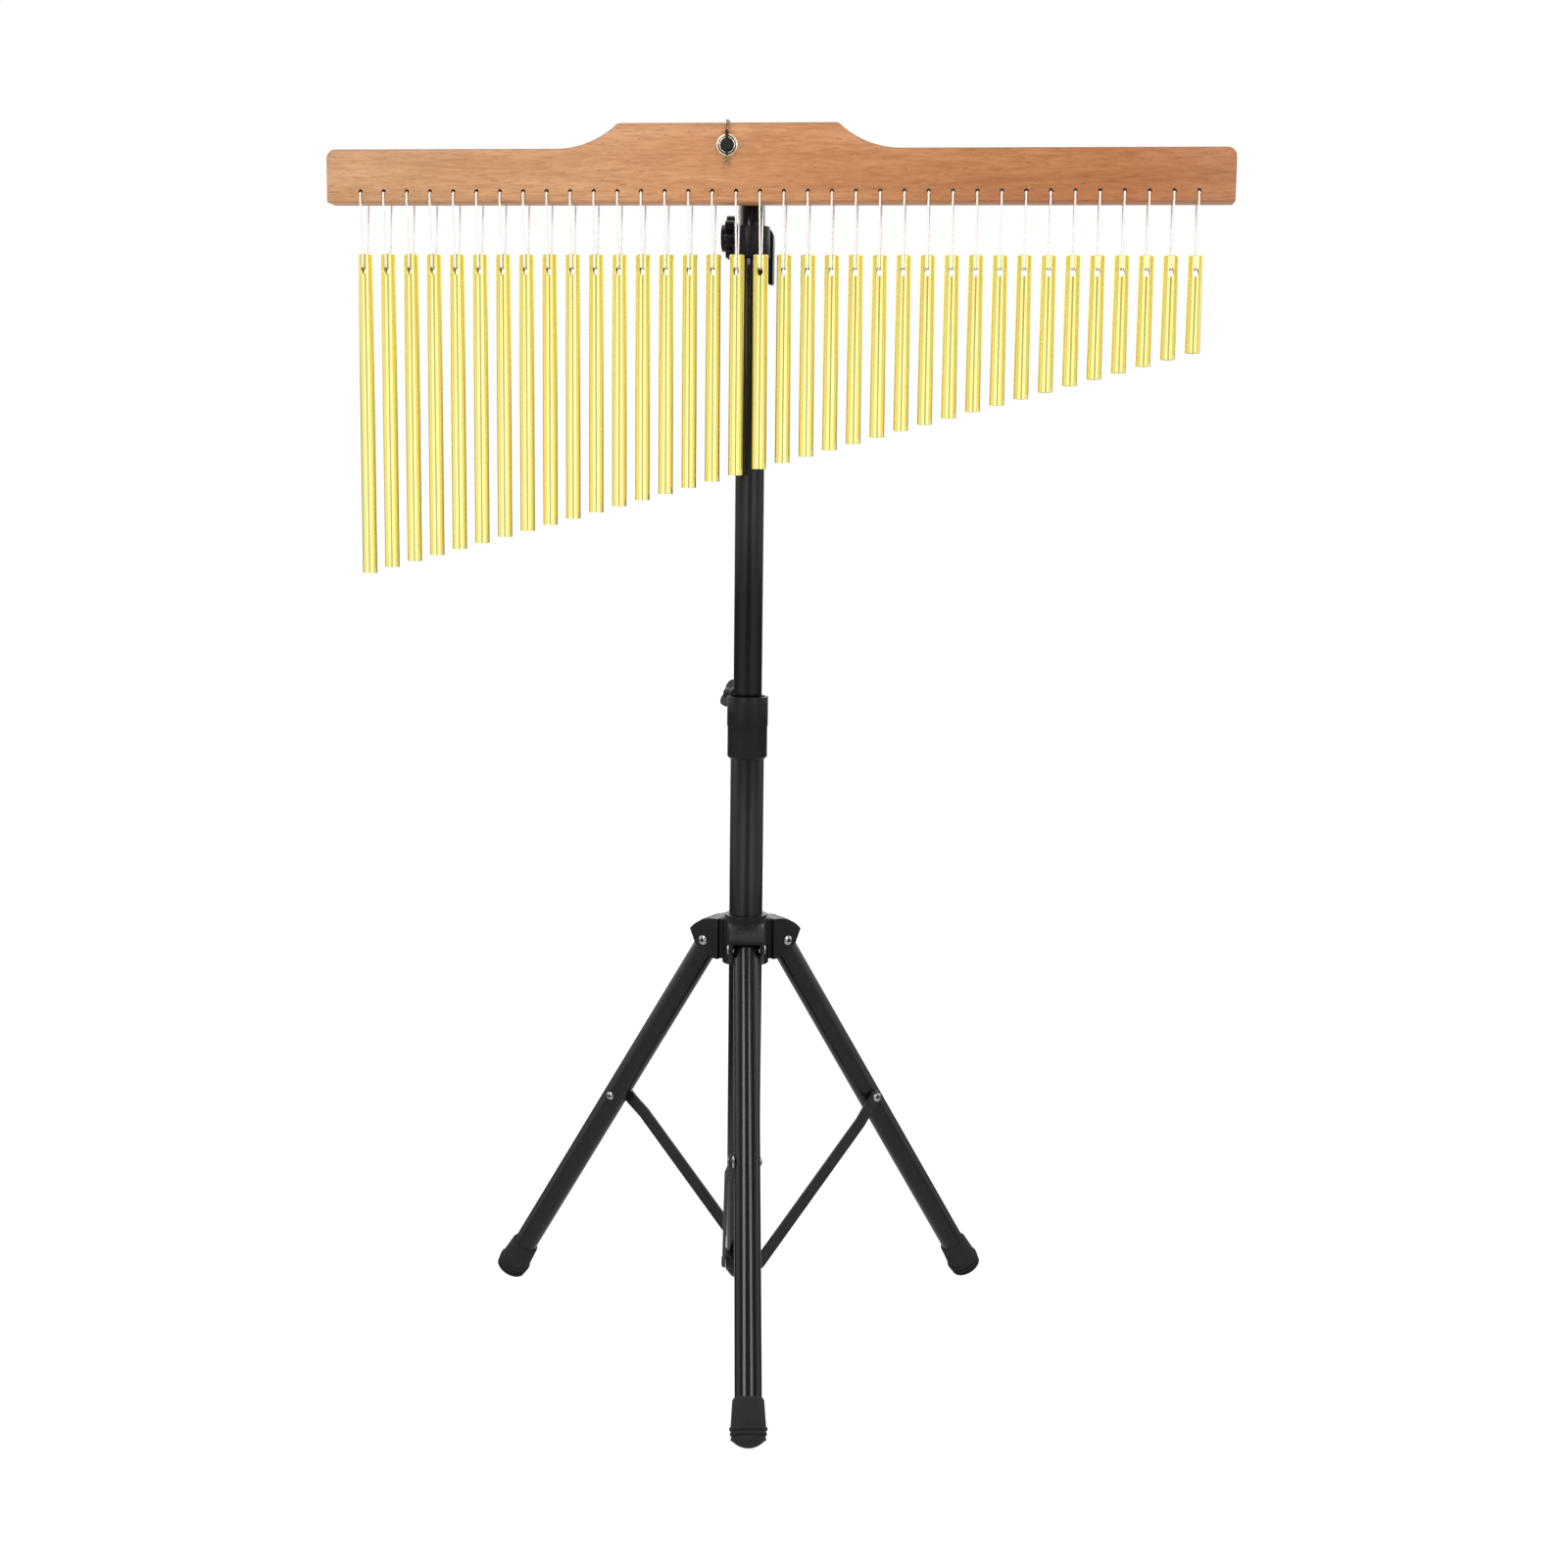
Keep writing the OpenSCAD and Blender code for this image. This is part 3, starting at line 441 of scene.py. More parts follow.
def lathe(profile, segments=64, closed=False):
    """A mesh turned about Z from (radius, z) points. A closed profile makes a ring or a tube."""
    bm = bmesh.new()
    rings = []
    for radius, z in profile:
        if radius < ON_AXIS:
            rings.append([bm.verts.new((0, 0, z))])
        else:
            rings.append([bm.verts.new((radius * math.cos(a), radius * math.sin(a), z))
                          for a in (2 * math.pi * k / segments for k in range(segments))])
    pairs = list(zip(rings, rings[1:]))
    if closed:
        pairs.append((rings[-1], rings[0]))
    for low, high in pairs:
        for k in range(segments):
            after = k + 1
            corners = [low[k % len(low)], low[after % len(low)],
                       high[after % len(high)], high[k % len(high)]]
            bm.faces.new(list(dict.fromkeys(corners)))
    bmesh.ops.recalc_face_normals(bm, faces=bm.faces)
    return bm


def rounded(points, radius, steps=3):
    """The (radius, z) profile with each inner corner rounded by that radius."""
    made = [points[0]]
    for before, corner, after in zip(points, points[1:], points[2:]):
        p, c, q = Vector(before), Vector(corner), Vector(after)
        reach = min(radius, (p - c).length * 0.45, (q - c).length * 0.45)
        start, end = c + (p - c).normalized() * reach, c + (q - c).normalized() * reach
        for k in range(steps + 1):
            t = k / steps
            made.append(tuple((1 - t) ** 2 * start + 2 * t * (1 - t) * c + t * t * end))
    return made + [points[-1]]


def piece(bm, name, mat, body, at=None, stands_for=(), sharp=35, recess=False):
    """An object from a mesh, shaded smooth up to the sharp angle in degrees, riding on a body.

    With recess, the faces of material index 1 get a near-black material: painted shade for the dark of a
    hollow.
    """
    if at is not None:
        bmesh.ops.transform(bm, matrix=at, verts=bm.verts)
    for face in bm.faces:
        face.smooth = True
    for edge in bm.edges:
        edge.smooth = len(edge.link_faces) == 2 and edge.calc_face_angle(0) < math.radians(sharp)
    mesh = bpy.data.meshes.new(name)
    bm.to_mesh(mesh)
    bm.free()
    mesh.materials.append(mat)
    if recess:
        mesh.materials.append(PAINTED_SHADE)
    made = bpy.data.objects.new(name, mesh)
    bpy.context.scene.collection.objects.link(made)
    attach(made, body)
    if stands_for:
        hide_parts(*stands_for)


def cut(bm, cutter):
    """The mesh with the cutter mesh taken away."""
    made = []
    for name, part in (("body", bm), ("cutter", cutter)):
        mesh = bpy.data.meshes.new(name)
        part.to_mesh(mesh)
        part.free()
        made.append(bpy.data.objects.new(name, mesh))
        bpy.context.scene.collection.objects.link(made[-1])
    modifier = made[0].modifiers.new("cut", "BOOLEAN")
    modifier.operation = "DIFFERENCE"
    modifier.solver = "EXACT"
    modifier.object = made[1]
    result = bmesh.new()
    result.from_mesh(made[0].evaluated_get(bpy.context.evaluated_depsgraph_get()).data)
    for part in made:
        mesh = part.data
        bpy.data.objects.remove(part)
        bpy.data.meshes.remove(mesh)
    return result


def across(radius, low, high, segments=32):
    """A capped cylinder along Y from low to high."""
    bm = lathe([(0, low), (radius, low), (radius, high), (0, high)], segments)
    bmesh.ops.rotate(bm, cent=(0, 0, 0), matrix=Matrix.Rotation(math.radians(-90), 3, "X"), verts=bm.verts)
    return bm


def join(target, *others):
    """Adds the other meshes to the target."""
    for other in others:
        mesh = bpy.data.meshes.new("joined")
        other.to_mesh(mesh)
        other.free()
        target.from_mesh(mesh)
        bpy.data.meshes.remove(mesh)
    return target


def dress(node, mat, edge=0.0, segments=2):
    """Gives a CAD node its finish, and breaks its sharp edges by a small round."""
    made = nodes[node]
    for holder in made.material_slots:
        holder.link = "OBJECT"
        holder.material = mat
    if edge:
        weld = made.modifiers.new("weld", "WELD")
        weld.merge_threshold = WELD_GAP
        flat = made.modifiers.new("flat", "DECIMATE")
        flat.decimate_type = "DISSOLVE"
        flat.angle_limit = math.radians(0.5)
        soft = made.modifiers.new("edge", "BEVEL")
        soft.width = edge
        soft.segments = segments
        soft.limit_method = "ANGLE"
        soft.angle_limit = math.radians(40)
        soft.harden_normals = True


def arc(cx, cz, radius, start, end, steps):
    """Points on an arc from start to end, in degrees."""
    turns = [math.radians(start + (end - start) * k / steps) for k in range(steps + 1)]
    return [(cx + radius * math.cos(a), cz + radius * math.sin(a)) for a in turns]


def bar_outline(half, hump_x):
    """The bar's outline in X and height above its underside, counter-clockwise."""
    top = BAR_END_HEIGHT
    sweep_r = (HUMP_SWEEP**2 + HUMP_RISE**2) / (2 * HUMP_RISE)
    sweep_x = HUMP_HALF_FLAT + HUMP_SWEEP
    round_z = top + HUMP_RISE - HUMP_ROUND
    round_dz = top + sweep_r - round_z
    round_dx = math.sqrt((sweep_r + HUMP_ROUND) ** 2 - round_dz**2)
    lean = math.degrees(math.atan2(round_dx, round_dz))
    edge = arc(sweep_x - round_dx, round_z, HUMP_ROUND, 90, 90 - lean, 8)
    edge += arc(sweep_x, top + sweep_r, sweep_r, 270 - lean, 270, 24)
    outline = [(hump_x + x, z) for x, z in reversed(edge)]
    outline += [(hump_x - x, z) for x, z in edge]
    outline += arc(BAR_TOP_ROUND - half, top - BAR_TOP_ROUND, BAR_TOP_ROUND, 90, 180, 10)
    outline += arc(BAR_LOW_ROUND - half, BAR_LOW_ROUND, BAR_LOW_ROUND, 180, 270, 5)
    outline += arc(half - BAR_LOW_ROUND, BAR_LOW_ROUND, BAR_LOW_ROUND, 270, 360, 5)
    outline += arc(half - BAR_TOP_ROUND, top - BAR_TOP_ROUND, BAR_TOP_ROUND, 0, 90, 10)
    return outline


def wooden_bar():
    """The bar with eased edges, its row of cord holes and the eyelet's hole. Returns its middle in Y."""
    low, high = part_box("wooden_bar")
    middle = (low[1] + high[1]) / 2
    eyelet_x = joints["bar_rock"]["pos_m"][0]
    bm = bmesh.new()
    outline = bar_outline(high[0], eyelet_x)
    front = bm.faces.new([bm.verts.new((x, low[1], low[2] + z)) for x, z in outline])
    made = bmesh.ops.extrude_face_region(bm, geom=[front])
    moved = [v for v in made["geom"] if isinstance(v, bmesh.types.BMVert)]
    bmesh.ops.translate(bm, vec=(0, high[1] - low[1], 0), verts=moved)
    bmesh.ops.recalc_face_normals(bm, faces=bm.faces)
    rims = [e for e in bm.edges if abs(e.verts[0].co.y - e.verts[1].co.y) < SAME_PLACE]
    bmesh.ops.bevel(bm, geom=rims, offset=BAR_EDGE_ROUND, segments=4, affect="EDGES", profile=0.5)
    cutter = bmesh.new()
    for i in range(1, CHIMES + 1):
        x = joints[f"chime_{i:02d}_swing"]["pos_m"][0]
        hole = across(HOLE_RADIUS, low[1] - CUT_PAST, high[1] + CUT_PAST, segments=24)
        bmesh.ops.translate(hole, vec=(x, 0, low[2] + HOLE_UP), verts=hole.verts)
        join(cutter, hole)
    hole = across(EYELET_BARREL, low[1] - CUT_PAST, high[1] + CUT_PAST, segments=48)
    bmesh.ops.translate(hole, vec=(eyelet_x, 0, low[2] + EYELET_UP), verts=hole.verts)
    join(cutter, hole)
    piece(cut(bm, cutter), "wooden_bar_body", WOOD, "bar", stands_for=["wooden_bar"],
          sharp=30)
    return middle


def eyelet():
    """A rolled brass eyelet: a barrel with a raised rim, a groove darkened by painted shade and a washer on
    each face.
    """
    low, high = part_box("eyelet")
    centre = Vector(joints["bar_rock"]["pos_m"])
    half = (high[1] - low[1]) / 2
    flange = EYELET_FLANGE_THICK
    side = [(EYELET_BORE, 0)] + [(EYELET_BORE + r * MM, half + z * MM) for z, r in EYELET_LIP]
    side += [(EYELET_FLANGE, half - EYELET_FLANGE_EDGE), (EYELET_FLANGE, half - flange),
             (EYELET_BARREL, half - flange)]
    profile = side + [(r, -z) for r, z in reversed(side[1:])]
    bm = lathe(profile, 64, closed=True)
    at = Matrix.Translation(centre) @ Matrix.Rotation(math.radians(90), 4, "X")
    # Painted shade: the groove's faces take the near-black material.
    for face in bm.faces:
        if abs(face.calc_center_median().xy.length - EYELET_GROOVE) < EYELET_GROOVE_HALF:
            face.material_index = 1
    piece(bm, "eyelet_rolled", BRASS, "bar", at, ["eyelet"], sharp=50, recess=True)


def wire_loop(points, radius, sides=8):
    """A closed round wire along a ring of points in a plane across Z."""
    bm = bmesh.new()
    up = Vector((0, 0, 1))
    rings = []
    for k, point in enumerate(points):
        out = (points[(k + 1) % len(points)] - points[k - 1]).normalized().cross(up)
        rings.append([bm.verts.new(point + radius * (math.cos(a) * out + math.sin(a) * up))
                      for a in (2 * math.pi * q / sides for q in range(sides))])
    for a, b in zip(rings, rings[1:] + rings[:1]):
        for q in range(sides):
            bm.faces.new((a[q], b[q], b[(q + 1) % sides], a[(q + 1) % sides]))
    bmesh.ops.recalc_face_normals(bm, faces=bm.faces)
    return bm


def chain_link(place, along, roll):
    """One oval link, its long way along the given direction and rolled about it by some degrees."""
    turns = [2 * math.pi * k / 20 for k in range(20)]
    oval = [Vector((LINK_HALF_LENGTH * math.cos(a), LINK_HALF_WIDTH * math.sin(a), 0)) for a in turns]
    bm = wire_loop(oval, LINK_WIRE)
    side = Vector((1, 0, 0))
    turn = Matrix((along, side, along.cross(side))).transposed().to_4x4()
    at = Matrix.Translation(place) @ turn @ Matrix.Rotation(math.radians(roll), 4, "X")
    bmesh.ops.transform(bm, matrix=at, verts=bm.verts)
    return bm


def chain():
    """The pin in the peg's nose, its tail of links, and the chain over the bar to a ring on the peg."""
    x, _, axis = joints["bar_rock"]["pos_m"]
    low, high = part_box("wooden_bar")
    front, back, top = low[1] - PIN_OUT, high[1] + PIN_OUT, high[2] + CHAIN_ABOVE
    route = [(front, axis + PIN_UP + CHAIN_START), (front + CHAIN_LEAN, top - CHAIN_LEAN_DOWN)]
    route += [(low[1] - out, top - down) for out, down in CHAIN_CORNER]
    route += [(high[1] + out, top - down) for out, down in reversed(CHAIN_CORNER)]
    route.append((back, axis + PEG_RING_RADIUS + PEG_RING_WIRE))
    points = [Vector((x, y, z)) for y, z in route]
    lengths = [(b - a).length for a, b in zip(points, points[1:])]
    count = round(sum(lengths) / LINK_PITCH)
    links = bmesh.new()
    leg, passed = 0, 0.0
    for n in range(count + 1):
        want = sum(lengths) * n / count
        while leg < len(lengths) - 1 and passed + lengths[leg] < want:
            passed += lengths[leg]
            leg += 1
        along = (points[leg + 1] - points[leg]).normalized()
        roll = LINK_ROLL if n % 2 else -LINK_ROLL
        join(links, chain_link(points[leg] + along * (want - passed), along, roll))
    for n in range(TAIL_LINKS):
        place = Vector((x, front, axis - PIN_LOW - TAIL_GAP - n * LINK_PITCH))
        join(links, chain_link(place, Vector((0, 0, 1)), 90 * (n % 2)))
    turns = [2 * math.pi * k / 48 for k in range(48)]
    circle = [Vector((PEG_RING_RADIUS * math.cos(a), PEG_RING_RADIUS * math.sin(a), 0)) for a in turns]
    ring = wire_loop(circle, PEG_RING_WIRE, sides=12)
    at = Matrix.Translation((x, back, axis)) @ Matrix.Rotation(math.radians(90), 4, "X")
    bmesh.ops.transform(ring, matrix=at, verts=ring.verts)
    piece(join(links, ring), "chain_links", NICKEL, "head", stands_for=["retaining_chain"],
          sharp=80)
    pin = lathe([(0, -PIN_LOW), (PIN_RADIUS - PIN_EDGE, -PIN_LOW), (PIN_RADIUS, PIN_EDGE - PIN_LOW),
                 (PIN_RADIUS, PIN_UP - PIN_EDGE), (PIN_RADIUS - PIN_EDGE, PIN_UP), (0, PIN_UP)], 32)
    piece(pin, "chain_pin", STRIP, "head", Matrix.Translation((x, front, axis)))


def cord_route(chime_top, bar_low, hole_z, half_bar):
    """One side of the cord's loop, in distance from the bar's middle plane and height."""
    face = half_bar + CORD_RADIUS + CORD_GAP
    tube = CHIME_RADIUS + CORD_RADIUS + CORD_GAP
    hole = hole_z - HOLE_RADIUS + CORD_RADIUS + CORD_GAP
    cross = chime_top - CROSS_DOWN + CROSS_RISE - CORD_RADIUS - CORD_GAP
    return [
        (0, hole), (-face + CORD_BEND, hole), (-face, hole - CORD_BEND), (-face, bar_low - CORD_RADIUS),
        (-tube, chime_top + CORD_RADIUS), (-tube, cross + CORD_BEND), (-tube + CORD_BEND, cross),
        (0, cross),
    ]


def spaced(points, step):
    """Points along a closed route at an even step, with its corners eased."""
    for _ in range(2):
        eased = []
        for a, b in zip(points, points[1:] + points[:1]):
            reach = min(0.25, CORD_EASE / max((b - a).length, SAME_PLACE))
            eased += [a.lerp(b, reach), b.lerp(a, reach)]
        points = eased
    lengths = [(b - a).length for a, b in zip(points, points[1:] + points[:1])]
    count = round(sum(lengths) / step)
    made, k, passed = [], 0, 0.0
    for n in range(count):
        want = n * sum(lengths) / count
        while passed + lengths[k] < want:
            passed += lengths[k]
            k += 1
        made.append(points[k].lerp(points[(k + 1) % len(points)], (want - passed) / lengths[k]))
    return made


def twisted_loop(points, radius, turns, sides=12, strands=3):
    """A closed loop of laid cord across X, whose strands wind round it by that many turns."""
    bm = bmesh.new()
    rings = []
    for k, point in enumerate(points):
        ahead = (points[(k + 1) % len(points)] - points[k - 1]).normalized()
        out = Vector((1, 0, 0))
        up = ahead.cross(out)
        ring = []
        for q in range(sides):
            a = 2 * math.pi * q / sides
            wave = math.cos(strands * a - 2 * math.pi * turns * k / len(points))
            r = radius * (1 - STRAND_DEPTH + STRAND_DEPTH * wave)
            ring.append(bm.verts.new(point + out * r * math.cos(a) + up * r * math.sin(a)))
        rings.append(ring)
    for a, b in zip(rings, rings[1:] + rings[:1]):
        for q in range(sides):
            bm.faces.new((a[q], b[q], b[(q + 1) % sides], a[(q + 1) % sides]))
    bmesh.ops.recalc_face_normals(bm, faces=bm.faces)
    return bm


def chimes(bar_middle):
    """Each chime's tube with broken edges and a tall cross hole, and its loop of laid cord."""
    bar_low, bar_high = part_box("wooden_bar")
    half_bar = (bar_high[1] - bar_low[1]) / 2
    for i in range(1, CHIMES + 1):
        name = f"chime_{i:02d}"
        x = joints[name + "_swing"]["pos_m"][0]
        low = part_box(name)[0][2]
        top = bar_low[2] - CHIME_DROP
        ring = [(CHIME_BORE, low + CHIME_EDGE), (CHIME_BORE + CHIME_EDGE, low),
                (CHIME_RADIUS - CHIME_EDGE, low), (CHIME_RADIUS, low + CHIME_EDGE),
                (CHIME_RADIUS, top - CHIME_EDGE), (CHIME_RADIUS - CHIME_EDGE, top),
                (CHIME_BORE + CHIME_EDGE, top), (CHIME_BORE, top - CHIME_EDGE)]
        cutter = across(CROSS_RADIUS, -2 * CHIME_RADIUS, 2 * CHIME_RADIUS, segments=24)
        bmesh.ops.scale(cutter, vec=(1, 1, CROSS_RISE / CROSS_RADIUS), verts=cutter.verts)
        bmesh.ops.translate(cutter, vec=(0, 0, top - CROSS_DOWN), verts=cutter.verts)
        tube = cut(lathe(ring, 48, closed=True), cutter)
        at = Matrix.Translation((x, bar_middle, 0))
        piece(tube, name + "_tube", GOLD, name, at, [name], sharp=30)
        half = cord_route(top, bar_low[2], bar_low[2] + HOLE_UP, half_bar)
        route = half[1:-1] + [(-y, z) for y, z in reversed(half[1:-1])]
        points = spaced([Vector((x, bar_middle + y, z)) for y, z in route], CORD_STEP)
        turns = round(len(points) * CORD_STEP / CORD_LAY)
        piece(twisted_loop(points, CORD_RADIUS, turns), name + "_cord", NYLON, name, sharp=80)


def leg_frame(side):
    """A leg's frame at its pivot: X outward, Y across the leg, -Z down the leg."""
    joint = joints[f"leg_{side}_fold"]
    across_leg = Vector(joint["axis"])
    out = across_leg.cross(Vector((0, 0, 1)))
    turn = Matrix((out, across_leg, Vector((0, 0, 1)))).transposed().to_4x4()
    return Matrix.Translation(joint["pos_m"]) @ turn @ Matrix.Rotation(-LEG_TILT, 4, "Y")


def screw_head(radius, height, y, facing):
    """A domed screw head with a six-sided socket, standing on the face at y and facing along Y."""
    profile = [(0, height), (radius * 0.62, height * 0.95), (radius, height * 0.35), (radius, 0), (0, 0)]
    floor, clear = height * SOCKET_FLOOR, height * 1.2
    wide = radius * SOCKET_WIDE
    socket = lathe([(0, floor), (wide, floor), (wide, clear), (0, clear)], segments=6)
    bm = cut(lathe(rounded(profile, radius * 0.3, 4), segments=40), socket)
    # Painted shade: the socket's inner walls take the near-black material.
    bottom, top = (height * share for share in SOCKET_SHADE_RISE)
    for face in bm.faces:
        middle = face.calc_center_median()
        if middle.xy.length < radius * SOCKET_SHADE_WIDE and bottom < middle.z < top:
            face.material_index = 1
    turn = Matrix.Rotation(math.radians(-90 * facing), 4, "X")
    bmesh.ops.transform(bm, matrix=Matrix.Translation((0, y, 0)) @ turn, verts=bm.verts)
    return bm


def foot_profile():
    """A rubber cap from its mouth to its domed end: a shoulder, three stepped ribs and a dome."""
    lip = FOOT_RIB_EDGE
    outer = [(LEG_RADIUS + FOOT_GAP, FOOT_MOUTH)]
    outer += [(radius, FOOT_MOUTH - down) for radius, down in FOOT_SHOULDER]
    for radius, top in FOOT_RIBS:
        low = top - FOOT_RIB_HEIGHT
        outer += [(radius - FOOT_RIB_STEP, top), (radius - lip, top), (radius, top - lip),
                  (radius, low + lip), (radius - lip, low), (radius - FOOT_RIB_STEP, low)]
    dome = arc(0, FOOT_DOME_UP, FOOT_DOME_RADIUS, -45, -90, 12)
    return outer + dome[:-1] + [(0, FOOT_TIP)]


def hub_ribs():
    """Short moulded ridges over the top of each leg's socket."""
    for side in SIDES:
        at = leg_frame(side) @ Matrix.Rotation(LEG_TILT, 4, "Y")
        bm = bmesh.new()
        for y in RIDGE_PLACES:
            foot = arc(*EAR_DOME, EAR_DOME_RADIUS - RIDGE_SUNK, *RIDGE_FOOT_SPAN, RIDGE_STEPS)
            crest = arc(*EAR_DOME, EAR_DOME_RADIUS + RIDGE_PROUD, *RIDGE_CREST_SPAN, RIDGE_STEPS)
            lines = ((foot, -RIDGE_HALF_FOOT), (crest, -RIDGE_HALF_TOP), (crest, RIDGE_HALF_TOP),
                     (foot, RIDGE_HALF_FOOT))
            rows = [[bm.verts.new((x, y + aside, z)) for x, z in line] for line, aside in lines]
            for one, two in zip(rows, rows[1:] + rows[:1]):
                for k in range(len(one) - 1):
                    bm.faces.new((one[k], one[k + 1], two[k + 1], two[k]))
            for end in (0, -1):
                bm.faces.new([row[end] for row in rows])
        bmesh.ops.recalc_face_normals(bm, faces=bm.faces)
        piece(bm, f"hub_ridges_{side}", PLASTIC, "hub", at, sharp=50)


def legs():
    """Leg tubes, brace screws, braces, hub bolts, and the ribbed feet, cut flat where they stand."""
    for side in SIDES:
        at = leg_frame(side)
        end = LEG_LENGTH - FOOT_FLOOR
        bore = LEG_RADIUS - LEG_WALL
        top = arc(0, 0, LEG_RADIUS, 90, 0, 12)
        tube = lathe([(0, LEG_RADIUS)] + top[1:] + [(LEG_RADIUS, -end), (bore, -end),
                     (bore, -LEG_RADIUS - LEG_WALL), (0, -LEG_RADIUS - LEG_WALL)], 64)
        piece(tube, f"leg_{side}_tube", PAINT, f"leg_{side}", at, [f"leg_{side}"])
        screw = join(screw_head(SCREW_RADIUS, BRACE_SCREW_LOW, -BRACE_SCREW_OUT, -1),
                     screw_head(BRACE_SCREW_RADIUS, BRACE_SCREW_HEAD, LEG_RADIUS, 1),
                     across(BOLT_RADIUS, -BRACE_SCREW_OUT, LEG_RADIUS),
                     across(WASHER_RADIUS, -LEG_RADIUS - WASHER_THICK, -LEG_RADIUS))
        place = at @ Matrix.Translation((0, 0, -BRACE_AT))
        piece(screw, f"leg_{side}_brace_screw", CHROME, f"leg_{side}", place,
              recess=True)
        foot = lathe(foot_profile(), 72)
        bmesh.ops.transform(foot, matrix=at @ Matrix.Translation((0, 0, -LEG_LENGTH)), verts=foot.verts)
        bmesh.ops.bisect_plane(foot, geom=foot.verts[:] + foot.edges[:] + foot.faces[:],
                               plane_co=(0, 0, 0), plane_no=(0, 0, 1), clear_inner=True)
        rim = [e for e in foot.edges if e.is_boundary and e.verts[0].co.z < MM]
        bmesh.ops.holes_fill(foot, edges=rim)
        piece(foot, f"foot_{side}_cap", RUBBER, f"leg_{side}", None, [f"foot_{side}"],
              sharp=50)
        bolt = join(screw_head(SCREW_RADIUS, HUB_SCREW_HEAD, -HUB_EAR_HALF, -1),
                    screw_head(SCREW_RADIUS, HUB_SCREW_HEAD, HUB_EAR_HALF, 1),
                    across(BOLT_RADIUS, -HUB_EAR_HALF, HUB_EAR_HALF))
        upright = at @ Matrix.Rotation(LEG_TILT, 4, "Y")
        stands_for = ["hub_bolts"] if side == "front" else ()
        piece(bolt, f"hub_bolt_{side}", CHROME, "hub", upright, stands_for,
              recess=True)
        dress(f"brace_{side}", STRIP, 0.3 * MM)


def stand():
    """Finishes for the CAD nodes of the column, hub, collar and clamp."""
    for node in ("lower_tube", "middle_tube", "top_tube"):
        dress(node, PAINT, 0.15 * MM)
    dress("base_bracket", BRACKET, 0.4 * MM)
    dress("leg_hub", PLASTIC, 0.9 * MM, 3)
    dress("lower_collar", PLASTIC, 0.35 * MM)
    dress("collar_knob", KNOB, 0.9 * MM, 3)
    dress("clamp_collar", PLASTIC, 0.4 * MM)
    dress("clamp_knob", KNOB, 0.8 * MM, 3)
    dress("clamp_lever", KNOB, 0.6 * MM, 3)
    dress("hook_peg", BRACKET, 0.7 * MM, 3)


def surroundings():
    """A white backdrop that lights softly, and brighter behind.

    Glossy surfaces see soft bands instead: level ones by the turn away from the camera's side,
    dimmer ones below them, and a plain tone for the ground.
    """
    world = bpy.data.worlds.new("studio")
    bpy.context.scene.world = world
    world.use_nodes = True
    tree = world.node_tree
    tree.nodes.clear()
    add = adder(tree)
    toward = add("SeparateXYZ", {"Vector": add("TexCoord").outputs["Generated"]})
    ahead = calculate(add, "MULTIPLY", toward.outputs["Y"], -1.0)
    turn = calculate(add, "ARCTAN2", toward.outputs["X"], ahead)
    off_side = calculate(add, "ABSOLUTE", calculate(add, "ADD", turn, -CAMERA_SIDE))
    share = calculate(add, "MULTIPLY", off_side, 1 / math.pi)
    level, below, above = (
        ramp(add, share, [(at, (tone, tone, tone)) for at, tone in tones])
        for tones in (LEVEL_TONES, BELOW_TONES, ABOVE_TONES))
    height = toward.outputs["Z"]
    upper = mix(add, share_between(add, height, *ABOVE_FROM), level, above)
    ground = (GROUND_TONE, GROUND_TONE, GROUND_TONE, 1)
    lower = mix(add, share_between(add, height, *GROUND_FROM), below, ground)
    glossy = add("MixShader", {0: share_between(add, height, *BELOW_FROM)})
    for k, band in enumerate((upper, lower), 1):
        shine = add("Background", {"Color": band, "Strength": GLOSSY_STRENGTH})
        tree.links.new(shine.outputs[0], glossy.inputs[k])
    behind = add("MapRange", {"Value": toward.outputs["Y"], "From Min": -0.6, "From Max": 0.6,
                              "To Min": 0.5, "To Max": 1.1})
    soft = add("Background", {"Color": (0.95, 0.97, 1, 1), "Strength": behind.outputs["Result"]})
    seen = add("Background", {"Color": (1, 1, 1, 1), "Strength": 1.0})
    rays = add("LightPath")
    first = add("MixShader", {0: rays.outputs["Is Glossy Ray"]})
    tree.links.new(soft.outputs[0], first.inputs[1])
    tree.links.new(glossy.outputs[0], first.inputs[2])
    second = add("MixShader", {0: rays.outputs["Is Camera Ray"]})
    tree.links.new(first.outputs[0], second.inputs[1])
    tree.links.new(seen.outputs[0], second.inputs[2])
    tree.links.new(second.outputs[0], add("OutputWorld").inputs["Surface"])


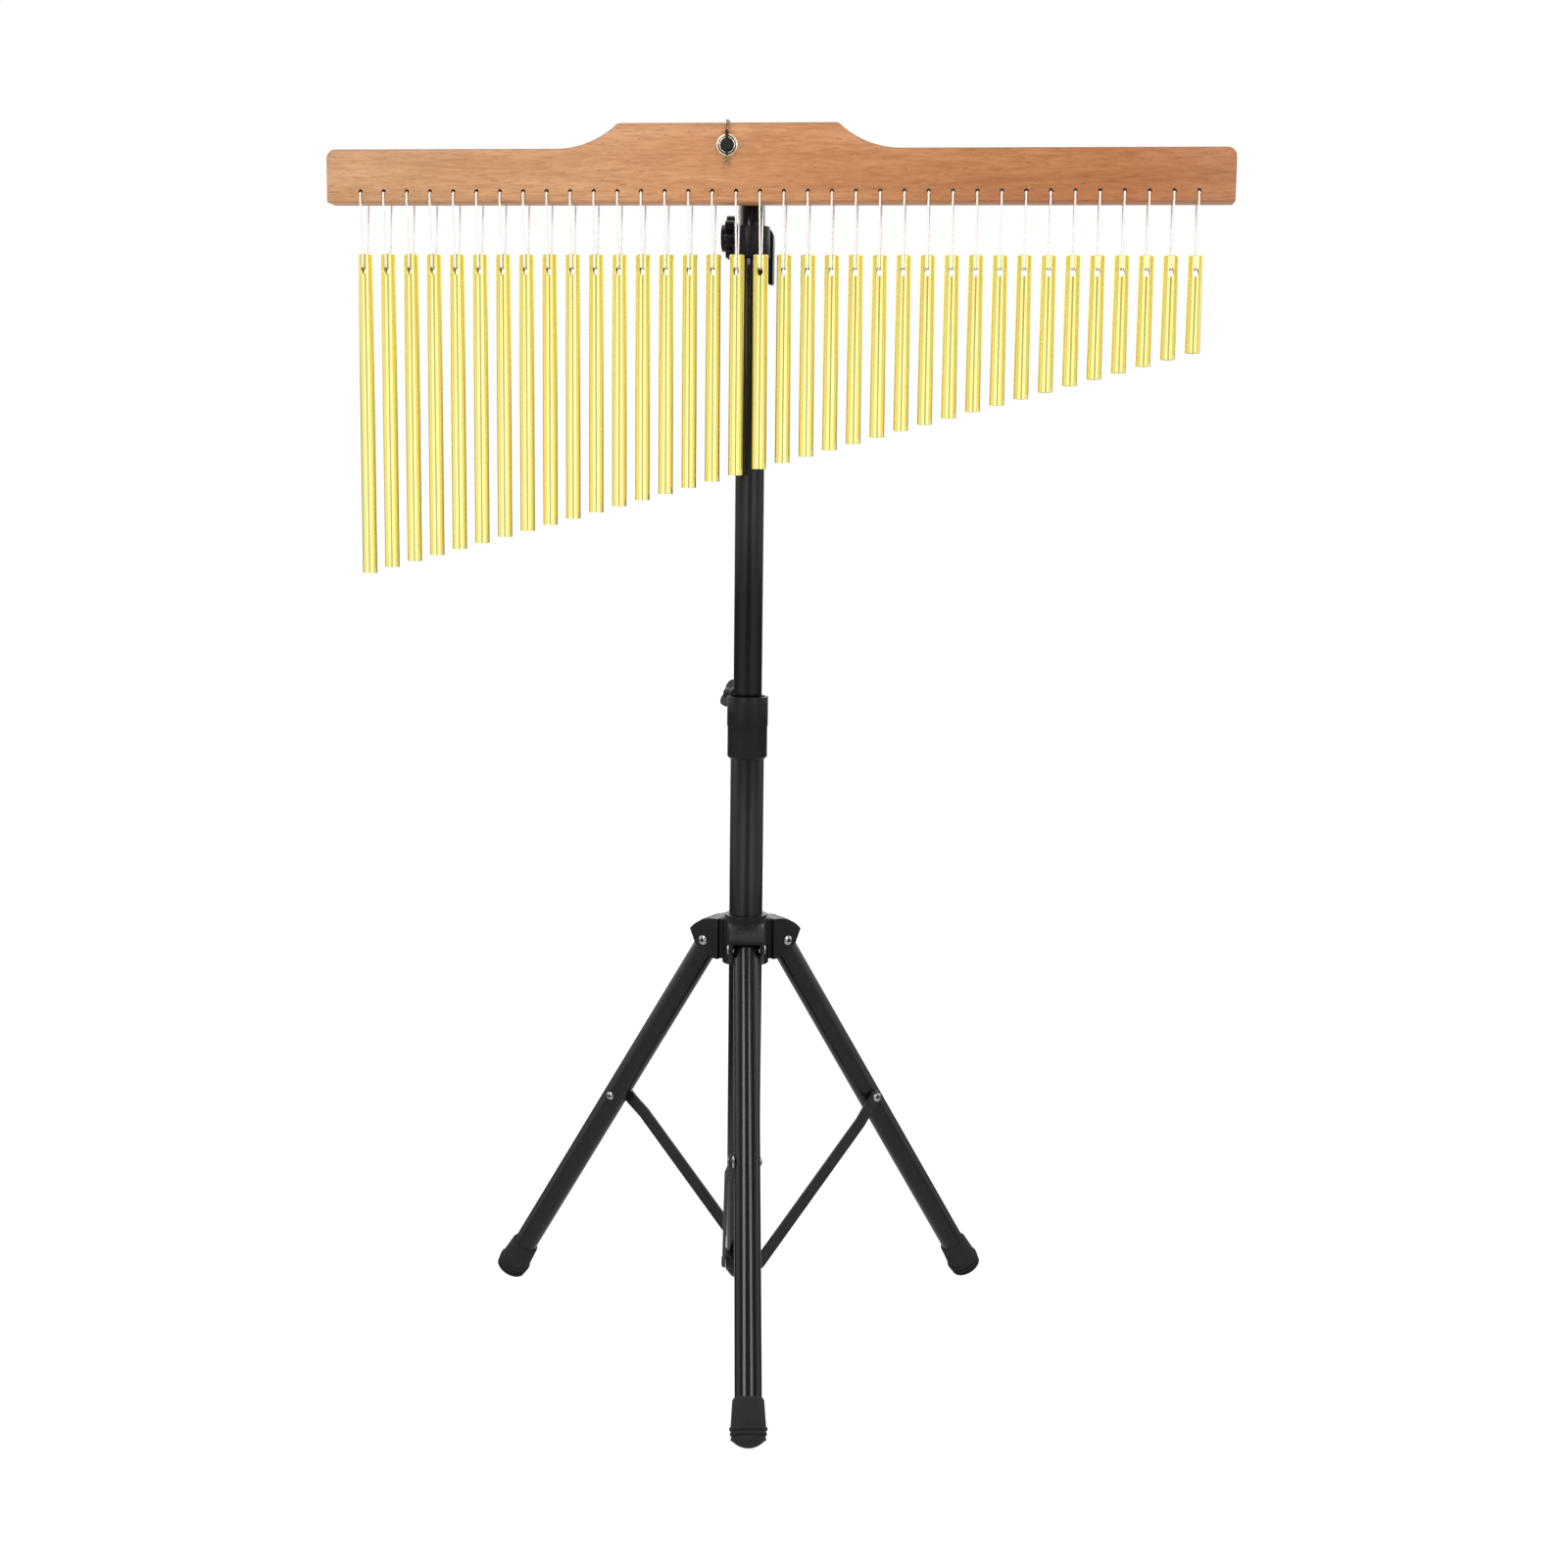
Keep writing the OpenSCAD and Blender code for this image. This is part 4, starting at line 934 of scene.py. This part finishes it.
def lamp(name, place, target, width, height, power):
    """A soft rectangular lamp at a place, turned to its target."""
    light = bpy.data.lights.new(name, "AREA")
    light.shape = "RECTANGLE"
    light.size = width
    light.size_y = height
    light.energy = power
    made = bpy.data.objects.new(name, light)
    bpy.context.scene.collection.objects.link(made)
    made.location = place
    made.rotation_euler = (Vector(target) - Vector(place)).to_track_quat("-Z", "Y").to_euler()


def studio():
    """A white floor and backdrop, soft lamps, and the camera of the photograph."""
    scene = bpy.context.scene
    scene.view_settings.view_transform = "Standard"
    mat, tree, shader, add = node_tree("white_floor")
    set_shader(shader, Base_Color=(0.9, 0.9, 0.9, 1), Roughness=0.8)
    glow = add("Emission", {"Color": (1, 1, 1, 1), "Strength": 1.22})
    seen = calculate(add, "MULTIPLY", add("LightPath").outputs["Is Camera Ray"], 0.75)
    blend = add("MixShader", {0: seen})
    tree.links.new(shader.outputs[0], blend.inputs[1])
    tree.links.new(glow.outputs[0], blend.inputs[2])
    tree.links.new(blend.outputs[0], tree.nodes["Material Output"].inputs["Surface"])
    mesh = bpy.data.meshes.new("floor")
    corners = [(x * FLOOR_HALF, y * FLOOR_HALF, 0) for x, y in ((-1, -1), (1, -1), (1, 1), (-1, 1))]
    mesh.from_pydata(corners, [], [(0, 1, 2, 3)])
    mesh.materials.append(mat)
    floor = bpy.data.objects.new("floor", mesh)
    scene.collection.objects.link(floor)
    floor.visible_glossy = False
    surroundings()
    for row in LAMPS:
        lamp(*row)
    camera = bpy.data.cameras.new("camera")
    camera.sensor_width = SENSOR
    camera.lens = LENS
    view = bpy.data.objects.new("camera", camera)
    scene.collection.objects.link(view)
    forward = Vector(CAMERA_FORWARD)
    right = Matrix.Rotation(CAMERA_ROLL, 3, forward) @ Vector(CAMERA_RIGHT)
    turn = Matrix((right, right.cross(forward), -forward)).transposed().to_4x4()
    view.matrix_world = Matrix.Translation(CAMERA_PLACE) @ turn
    scene.camera = view


studio()
bar_middle = wooden_bar()
eyelet()
chain()
chimes(bar_middle)
legs()
hub_ribs()
stand()
